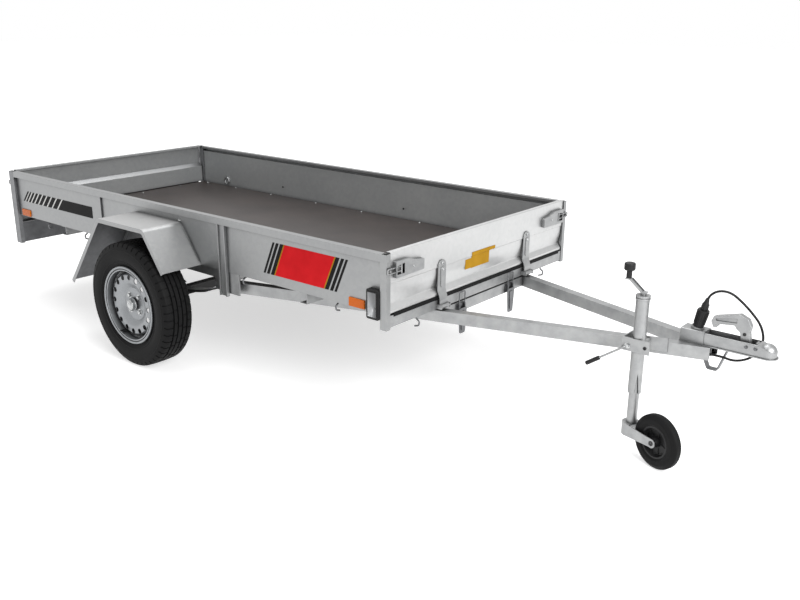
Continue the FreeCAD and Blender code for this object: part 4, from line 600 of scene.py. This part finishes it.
# Wheels
def turned(outline, steps, axis="Z"):
    """Ring spun from a closed outline in mm: (out, along) round Z, or (along, out) round Y."""
    deselect()
    bpy.ops.mesh.primitive_circle_add(vertices=len(outline), radius=1, location=(0, 0, 0))
    piece = bpy.context.object
    for vertex, (first, second) in zip(piece.data.vertices, outline):
        vertex.co = (first / 1000, 0, second / 1000) if axis == "Z" else (0, first / 1000, second / 1000)
    edit_all(piece)
    bpy.ops.mesh.spin(steps=steps, angle=2 * math.pi, center=(0, 0, 0),
                      axis=(0, 0, 1) if axis == "Z" else (0, 1, 0))
    bpy.ops.mesh.select_all(action="SELECT")
    bpy.ops.mesh.remove_doubles(threshold=0.00001)
    bpy.ops.mesh.normals_make_consistent(inside=False)
    edit_done()
    return piece


def at_wheel(side):
    """Moves a piece made round the origin to a road wheel's middle."""
    return Matrix.Translation((AXLE_X / 1000, side * WHEEL_Y / 1000, AXLE_Z / 1000))


def tyre_outline():
    """Closed outline of the whole tyre in mm, mirrored from one half: (across, out from the axle)."""
    sidewall = [
        (54, 166), (63.4, 166), (63.4, 184), (66, 190), (71, 198), (72.6, 201), (74.2, 202), (74.2, 206),
        (73.6, 207), (75.4, 214), (76.8, 224), (77.3, 236), (76.9, 248), (76.2, 254), (76.9, 255.4),
        (76.7, 258.6), (75.4, 260), (74.6, 264), (73, 269), (70.3, 275), (67.2, 280.5), (64.4, 284.4),
        (60, 286.8),
    ]
    tread = [
        (38.5, 288.2), (37.5, 281.5), (31.5, 281.5), (30.5, 288.6), (15.5, 289), (14.5, 281.5), (9.5, 281.5),
        (8.5, 289),
    ]
    inside = [(0, 277), (52, 277), (63, 262), (67, 240), (65, 212), (54, 192)]
    outer = sidewall + tread
    return outer + [(-across, out) for across, out in outer[::-1] + inside[:0:-1]] + inside


TYRE_STEPS = 300
# Cross slots of the tread: from and to across the tyre, out from the axle, every how many steps,
# the first step, and how deep
TREAD_SLOTS = (
    (0.041, 0.0735, 0.2705, 6, 0, 0.0035),
    (0.0154, 0.0306, 0.2870, 10, 1, 0.003),
    (-0.001, 0.0086, 0.2870, 15, 2, 0.003),
)


def slot_faces(tyre, low, high, inner, every, start):
    """Faces of one row of slots, staggered by half a pitch between the tyre's two sides."""
    chosen = []
    for face in tyre.data.polygons:
        out = math.hypot(face.center.x, face.center.z)
        step = int(math.degrees(math.atan2(face.center.z, face.center.x)) % 360 / 360 * TYRE_STEPS)
        shift = start if face.center.y > 0 else start + every // 2
        if low < abs(face.center.y) < high and out > inner and (step + shift) % every == 0:
            chosen.append(face.index)
    return chosen


def road_tyre(name, side):
    """Radial road tyre: ribbed tread with cross slots, rounded shoulders and ringed sidewalls."""
    tyre = turned(tyre_outline(), TYRE_STEPS, "Y")
    for *row, depth in TREAD_SLOTS:
        edit_faces(tyre, slot_faces(tyre, *row))
        bpy.ops.mesh.extrude_region_shrink_fatten(TRANSFORM_OT_shrink_fatten={"value": -depth})
        edit_done()
    tyre.data.transform(at_wheel(side))
    settle(tyre, "tyre_tread_" + name, RUBBER, "wheel_" + name, smooth=28)
    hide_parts("tyre_" + name)


def rim_lip(name, side):
    """Rolled lip round the wheel's edge, the step of its bead seat, and a black ring of painted shade in the
    groove between them.
    """
    lip = [(69, 171), (71, 170.4), (73.2, 171.4), (74.4, 174), (74.2, 177.6), (72.6, 180.4), (70, 181.4),
           (69, 181)]
    step = [(69, 160.8), (70.4, 160.6), (71.4, 161.6), (71.6, 164.2), (71, 166), (69, 166.6)]
    # A black ring of painted shade in the groove between lip and step
    painted_gap_shade = [(69, 166), (69.8, 166), (69.8, 171.4), (69, 171.4)]
    for ring, material in ((lip, WHEEL), (step, WHEEL), (painted_gap_shade, ENAMEL_AND_SHADE)):
        piece = turned([(side * along, out) for along, out in ring], 120, "Y")
        piece.data.transform(at_wheel(side))
        settle(piece, "rim_lip_" + name, material, "wheel_" + name, smooth=50)


def valve(name, side):
    """Snap-in rubber valve with its cap, through the outer side of the rim."""
    deselect()
    bpy.ops.mesh.primitive_cone_add(vertices=16, radius1=0.0085, radius2=0.0045, depth=0.026,
                                    location=(0, 0, 0.013))
    stem = bpy.context.object
    bpy.ops.mesh.primitive_cylinder_add(vertices=12, radius=0.0042, depth=0.011, location=(0, 0, 0.031))
    stem = merged([stem, bpy.context.object])
    bpy.ops.object.transform_apply(location=True, rotation=True, scale=True)
    angle, out = math.radians(205), 158
    spot = (AXLE_X + out * math.sin(angle), side * (WHEEL_Y + 46), AXLE_Z + out * math.cos(angle))
    lean = Vector((-0.35 * math.sin(angle), side, -0.35 * math.cos(angle))).normalized()
    copied(stem, [placed(*spot, lean)], "valve_" + name, PLASTIC, "wheel_" + name)
    dropped(stem)


def hub_web():
    """Thin web that closes the gaps between the jockey hub's spokes, half way through."""
    web = turned([(-1, 14), (-1.6, 34), (-1, 53), (1, 53), (1.6, 34), (1, 14)], 48, "Y")
    axle = JOINTS["jockey_wheel_spin"]
    x, y, _ = axle["axis"]
    web.data.transform(Matrix.Translation(axle["pos_m"]) @ Matrix.Rotation(-math.atan2(x, y), 4, "Z"))
    settle(web, "jockey_hub_web", PLASTIC, "jockey_wheel", smooth=40)


# Seals, films and marks
def cube_in_mm(reshape):
    """A cube whose eight corners, each coordinate -0.5 or 0.5, go where a function puts them in mm."""
    deselect()
    bpy.ops.mesh.primitive_cube_add(size=1, location=(0, 0, 0))
    cube = bpy.context.object
    for vertex in cube.data.vertices:
        vertex.co = [value / 1000 for value in reshape(*vertex.co)]
    return cube


def seal(board, sign):
    """Black rubber strip on the beam under a board, with a lip down over the beam's face."""
    beam = FRONT_FACE - 3 if sign > 0 else REAR_FACE + 3
    half_width = 612
    parts = []
    for front, back, low, high in ((0.6, 17, 481.3, 489.2), (1.4, 0.1, 474, 483)):
        parts.append(cube_in_mm(lambda x, y, z: (
            beam + sign * (front if x * sign > 0 else -back),
            2 * y * half_width,
            high if z > 0 else low,
        )))
    settle(merged(parts), board + "_seal", RUBBER, "bed")


def film(corners, out, material):
    """Thin film cut to four (forward, up) corners in mm, lying on a side of the bed."""
    thick = 0.0004
    deselect()
    bpy.ops.mesh.primitive_plane_add(size=1, location=(0, 0, 0))
    piece = bpy.context.object
    for index, (forward, up) in zip((0, 1, 3, 2), corners):
        piece.data.vertices[index].co = (forward / 1000, out / 1000, up / 1000)
    edit_all(piece)
    bpy.ops.mesh.extrude_region_move(TRANSFORM_OT_translate={"value": (0, math.copysign(thick, out), 0)})
    bpy.ops.mesh.select_all(action="SELECT")
    bpy.ops.mesh.normals_make_consistent(inside=False)
    edit_done()
    piece.data.materials.append(material)
    return piece


def slanted(start, end, low, high, lean):
    """Corners of a bar that leans forward."""
    return [(start, low), (end, low), (end + lean, high), (start + lean, high)]


def side_stripes(name, side):
    """Slanted bars that widen towards a solid band behind the wheel, over a white backing."""
    low, high, lean = 566, 624, 54
    start, backing_end, band_end = -1852, -1500, -1184
    on_sheet, on_backing = side * (SIDE_FACE + 0.1), side * (SIDE_FACE + 0.6)
    films = [film(slanted(start + 16, backing_end, low, high, lean), on_sheet, WHITE_FILM)]
    for count in range(9):
        width = 13 + 3.4 * count
        films.append(film(slanted(start, start + width, low, high, lean), on_backing, BLACK_FILM))
        start += width + 12
    band = [(start, low), (band_end, low), (band_end, high), (start + lean, high)]
    films.append(film(band, on_backing, BLACK_FILM))
    settle(merged(films), "side_stripes_" + name, BLACK_FILM, "bed")


def side_field(name, side):
    """Plain red field between slanted bars, on the front half of the side."""
    low, high, lean = 524, 664, 62
    spans = (
        (70, 82, BLACK_FILM), (90, 106, BLACK_FILM), (114, 134, BLACK_FILM), (134, 140, YELLOW_FILM),
        (140, 418, RED_FILM), (418, 424, YELLOW_FILM), (424, 444, BLACK_FILM), (452, 468, BLACK_FILM),
        (476, 488, BLACK_FILM),
    )
    out = side * (SIDE_FACE + 0.1)
    films = [film(slanted(start, end, low, high, lean), out, material) for start, end, material in spans]
    settle(merged(films), "side_field_" + name, RED_FILM, "bed")


def stickers():
    """Two overlapping blank stickers and a narrow strip, following the headboard's crease."""
    face, crease, layer = 750.5, 606, 0.35
    sheets = []
    for count, (left, right, low, high) in enumerate(
            ((-147, -66, 555, 597), (-105, 27, 553, 622), (-42, 66, 607, 621))):
        deselect()
        bpy.ops.mesh.primitive_grid_add(x_subdivisions=1, y_subdivisions=40, size=1, location=(0, 0, 0))
        sheet = bpy.context.object
        for vertex in sheet.data.vertices:
            across = left + (vertex.co.x + 0.5) * (right - left)
            height = low + (vertex.co.y + 0.5) * (high - low)
            back = 0 if height > crease else min(3.0, crease - height) + max(0, crease - 3 - height) / 33
            vertex.co = ((face + count * layer - back) / 1000, across / 1000, height / 1000)
        sheet.data.materials.append(YELLOW_FILM)
        sheets.append(sheet)
    settle(merged(sheets), "headboard_stickers", YELLOW_FILM, "headboard")


def plug_grip():
    """Ribbed and tapered cable boot on the plug, and the finger ribs round its body."""
    tilt = Matrix.Translation((1.682, 0, 0.488)) @ Matrix.Rotation(math.radians(12), 4, "Y")
    outline = [
        (5.2, 68), (13.4, 68), (14.2, 70), (14.2, 73), (12.4, 74.2), (12.4, 75.8), (13.6, 77), (13.6, 79.4),
        (11.6, 80.6), (11.6, 82.2), (12.7, 83.4), (12.7, 85.4), (10.6, 86.6), (10.6, 88), (11.4, 89.2),
        (9.6, 96), (7.6, 104), (5.6, 112), (5.2, 112),
    ]
    boot = turned(outline, 40)
    boot.data.transform(tilt)
    settle(boot, "plug_boot", PLASTIC, "drawbar", smooth=40)
    rib = cube_in_mm(lambda x, y, z: (3 * x, 3.4 * y, 50 * z))
    ribs, rib_count = [], 18
    lean = Matrix.Rotation(math.atan(2 / 66), 4, "Y")
    for count in range(rib_count):
        turn = Matrix.Rotation(2 * math.pi * count / rib_count, 4, "Z")
        ribs.append(tilt @ turn @ Matrix.Translation((0.0202, 0, 0.036)) @ lean)
    copied(rib, ribs, "plug_ribs", PLASTIC, "drawbar")
    dropped(rib)


def small_marks():
    """Lock barrels of the coupling's lever, a black disc of painted shade for the jockey clamp's hole, and
    plugs in the far wall.
    """
    deselect()
    bpy.ops.mesh.primitive_cylinder_add(vertices=24, radius=0.0065, depth=0.003, location=(0, 0, 0))
    barrel = bpy.context.object
    edit_faces(barrel, [face.index for face in barrel.data.polygons if face.normal.z > 0.9])
    bpy.ops.mesh.inset(thickness=0.0022)
    bpy.ops.mesh.extrude_region_move(TRANSFORM_OT_translate={"value": (0, 0, -0.002)})
    edit_done()
    locks = [placed(1852, -13, 498, "-Y", 0.9), placed(1852, 13, 498, "Y", 0.9)]
    copied(barrel, locks, "lever_lock", ENAMEL_AND_SHADE, "drawbar")
    # A black disc of painted shade where the clamp's hole is
    copied(barrel, [placed(1574, -204.5, 432, "-Y")], "clamp_hole_shade", ENAMEL_AND_SHADE, "drawbar")
    plugs = [placed(x, 628, 549, "-Y", 0.8) for x in (-1153, -213)]
    copied(barrel, plugs, "wall_plugs", PLASTIC, "bed")
    dropped(barrel)


# Second finishes, and painted light and shade, on parts of a CAD node's copy
def lamp_lenses():
    """Clear lenses in the marker lamps, and red, amber and clear fields in the tail lamps."""
    marker = bpy.data.objects["marker_lamps_finish"]
    edit_faces(marker, [face.index for face in marker.data.polygons
                        if abs(face.center.y) > 0.6642 and abs(face.normal.y) > 0.9])
    bpy.ops.mesh.inset(thickness=0.004)
    edit_done()
    marker.data.materials.append(CLEAR_LENS)
    for face in marker.data.polygons:
        if face.select:
            face.material_index = 1
    amber_end, clear_end, lamp_end, lens_face = 0.423, 0.505, 0.7, -1.9673
    tail = bpy.data.objects["tail_lamps_finish"]
    for edge in (amber_end, clear_end, -amber_end, -clear_end):
        split_at(tail, (0, edge, 0), (0, 1, 0))
    fields = ((RED_LENS, clear_end, lamp_end), (AMBER_LENS, 0.0, amber_end), (CLEAR_LENS, amber_end, clear_end))
    for material, low, high in fields:
        tinted(tail, material, lambda spot, way: spot.x < lens_face and low < abs(spot.y) < high)


def from_axle(spot):
    """How far a point is from the road wheels' axle."""
    return math.hypot(spot.x - AXLE_X / 1000, spot.z - AXLE_Z / 1000)


def rim_cap_and_painted_shade():
    """Bright dust cap, and painted shade: black in the hollow, the vents and the well of each rim."""
    for name, _ in SIDES:
        rim = bpy.data.objects["rim_" + name + "_finish"]
        tinted(rim, BRIGHT, lambda spot, way: from_axle(spot) < 0.028 and abs(spot.y) > 0.83)
        # Painted shade: black on the hollow behind the disc, on the vents' walls and in the well
        tinted(rim, ENAMEL_AND_SHADE, lambda spot, way: (
            abs(spot.y) < 0.8445 and way.y * spot.y < 0.02 and from_axle(spot) < 0.1505))
        tinted(rim, ENAMEL_AND_SHADE, lambda spot, way: abs(way.y) < 0.3 and 0.113 < from_axle(spot) < 0.142)
        tinted(rim, ENAMEL_AND_SHADE, lambda spot, way: (
            0.822 < abs(spot.y) < 0.8415 and 0.1425 < from_axle(spot) < 0.1605))


def painted_sheet_shading():
    """Painted light and shade on the sheet: own tones for the inward faces of walls and boards and for the
    boards' ledges, a lighter top and a darker underside for each mudguard.
    """
    under_rim = 0.715
    for name, _ in SIDES:
        # Painted shading on the walls' inward faces below the rim
        tinted(bpy.data.objects["side_panel_" + name + "_finish"], INWARD_PAINTED_SHADING,
               lambda spot, way: way.y * spot.y < -0.3 * abs(spot.y) and spot.z < under_rim)
        guard = bpy.data.objects["mudguard_" + name + "_finish"]
        # Painted shade under each mudguard and painted light on its top
        tinted(guard, DULL_ZINC_AND_SHADE, lambda spot, way: way.z < -0.2)
        tinted(guard, GUARD_TOP_PAINTED_LIGHT, lambda spot, way: way.z > 0.9)
    for name, inward in (("tailgate", 1), ("headboard", -1)):
        board = bpy.data.objects[name + "_panel_finish"]
        # Painted shading on the boards' ledges and inward faces
        tinted(board, SHEET, lambda spot, way: way.x * inward > 0.1 and way.z > 0.15)
        tinted(board, INWARD_PAINTED_SHADING, lambda spot, way: way.x * inward > 0.3 and way.z < 0.15)


# Cable, on the route that the CAD tube has
CABLE_ROUTE = [
    (1.7296, -0.0280, 0.4000), (1.7756, -0.0142, 0.4000), (1.8280, -0.0020, 0.3860),
    (1.8760, 0.0440, 0.4000), (1.8980, 0.0720, 0.4520), (1.8820, 0.0740, 0.5120),
    (1.8440, 0.0580, 0.5620), (1.8097, 0.0360, 0.6017), (1.7798, 0.0200, 0.6276),
    (1.7496, 0.0090, 0.6330), (1.7245, 0.0020, 0.6236), (1.7064, 0.0000, 0.6027),
    (1.7008, 0.0000, 0.5763),
]
CABLE_THICK = 0.009


def trailer_cable():
    """The cable from its gland under the coupling, up round it and over into the parked plug."""
    curve = bpy.data.curves.new("cable_line", "CURVE")
    curve.dimensions = "3D"
    curve.bevel_depth = CABLE_THICK / 2
    curve.bevel_resolution = 5
    curve.resolution_u = 12
    curve.use_fill_caps = True
    spline = curve.splines.new("NURBS")
    spline.points.add(len(CABLE_ROUTE) - 1)
    for point, (x, y, z) in zip(spline.points, CABLE_ROUTE):
        point.co = (x, y, z, 1)
    spline.order_u = 3
    spline.use_endpoint_u = True
    piece = bpy.data.objects.new("cable_black", curve)
    bpy.context.scene.collection.objects.link(piece)
    curve.materials.append(SHEATH)
    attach(piece, "drawbar")
    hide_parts("trailer_cable")


# Floor, light and camera
def seen_white(tree):
    """1 for rays from the camera, from glossy surfaces and through clear ones, otherwise 0."""
    ray = add_node(tree, "ShaderNodeLightPath").outputs
    seen = add_node(tree, MATH, {"operation": "MAXIMUM"}, {0: ray["Is Camera Ray"], 1: ray["Is Glossy Ray"]})
    return add_node(tree, MATH, {"operation": "MAXIMUM"}, {0: seen, 1: ray["Is Transmission Ray"]})


def studio_floor():
    """Matt white paper: where it is seen it glows a little, so only the shadow stays grey."""
    deselect()
    bpy.ops.mesh.primitive_plane_add(size=80, location=(0, 0, 0))
    floor = bpy.context.object
    floor.name = "studio_floor"
    material, tree, shader, where = new_material("studio_paper", Roughness=0.95, Specular_IOR_Level=0.0)
    shader.inputs["Base Color"].default_value = linear("#d6d6d6")
    shader.inputs["Emission Color"].default_value = linear("#ffffff")
    far = add_node(tree, "ShaderNodeVectorMath", {"operation": "LENGTH"}, {0: where})
    rise = add_node(tree, RANGE, {"From Min": 2.2, "From Max": 5.5, "To Min": 0.6, "To Max": 1.0},
                    {"Value": far.outputs["Value"]})
    glow = add_node(tree, MATH, {"operation": "MULTIPLY"}, {0: seen_white(tree), 1: rise})
    link(tree, shader, {"Emission Strength": glow})
    floor.data.materials.append(material)


def studio_light():
    """Even white surroundings, a broad lamp in front and to the right, and a softer one above."""
    world = bpy.data.worlds.new("studio")
    bpy.context.scene.world = world
    world.use_nodes = True
    tree = world.node_tree
    light = tree.nodes["Background"]
    light.inputs["Color"].default_value = linear("#ffffff")
    light.inputs["Strength"].default_value = 0.55
    white = add_node(tree, "ShaderNodeBackground", {"Color": linear("#ffffff"), "Strength": 1.0})
    mixed = add_node(tree, "ShaderNodeMixShader", sources={0: seen_white(tree), 1: light, 2: white})
    link(tree, tree.nodes["World Output"], {"Surface": mixed})
    aim = Vector((0, 0, 0.4))
    for name, place, size, power in (("front_lamp", (5.0, -2.0, 3.2), 3.0, 300),
                                     ("top_lamp", (-0.5, 0.5, 5.5), 4.5, 225)):
        lamp = bpy.data.lights.new(name, "AREA")
        lamp.size = size
        lamp.energy = power
        item = bpy.data.objects.new(name, lamp)
        item.location = place
        item.rotation_euler = (aim - Vector(place)).to_track_quat("-Z", "Y").to_euler()
        bpy.context.scene.collection.objects.link(item)


def photo_camera():
    """The photograph's viewpoint: place, turn to the left, tilt, roll and focal length."""
    place = (2.7771, -3.0509, 1.568)
    turn, tilt, roll = math.radians(39.2788), math.radians(-17.9686), math.radians(0.463)
    focal_pixels, picture_width, sensor_width = 892.02, 800, 36
    ahead = Vector((-math.sin(turn) * math.cos(tilt), math.cos(turn) * math.cos(tilt), math.sin(tilt)))
    across = Vector((math.cos(turn), math.sin(turn), 0))
    upward = across.cross(ahead)
    right = across * math.cos(roll) + upward * math.sin(roll)
    up = upward * math.cos(roll) - across * math.sin(roll)
    data = bpy.data.cameras.new("photo_camera")
    data.sensor_width = sensor_width
    data.lens = focal_pixels / picture_width * sensor_width
    camera = bpy.data.objects.new("photo_camera", data)
    camera.matrix_world = Matrix.Translation(place) @ Matrix(
        ((right.x, up.x, -ahead.x), (right.y, up.y, -ahead.y), (right.z, up.z, -ahead.z))).to_4x4()
    bpy.context.scene.collection.objects.link(camera)
    bpy.context.scene.camera = camera


# The whole trailer
dressed_nodes()
for name, side in SIDES:
    road_tyre(name, side)
    rim_lip(name, side)
    valve(name, side)
seal("headboard", 1)
seal("tailgate", -1)
fasteners()
hub_web()
for name, side in SIDES:
    side_stripes(name, side)
    side_field(name, side)
stickers()
plug_grip()
small_marks()
lamp_lenses()
rim_cap_and_painted_shade()
painted_sheet_shading()
trailer_cable()
studio_floor()
studio_light()
photo_camera()
bpy.context.scene.view_settings.view_transform = "Standard"
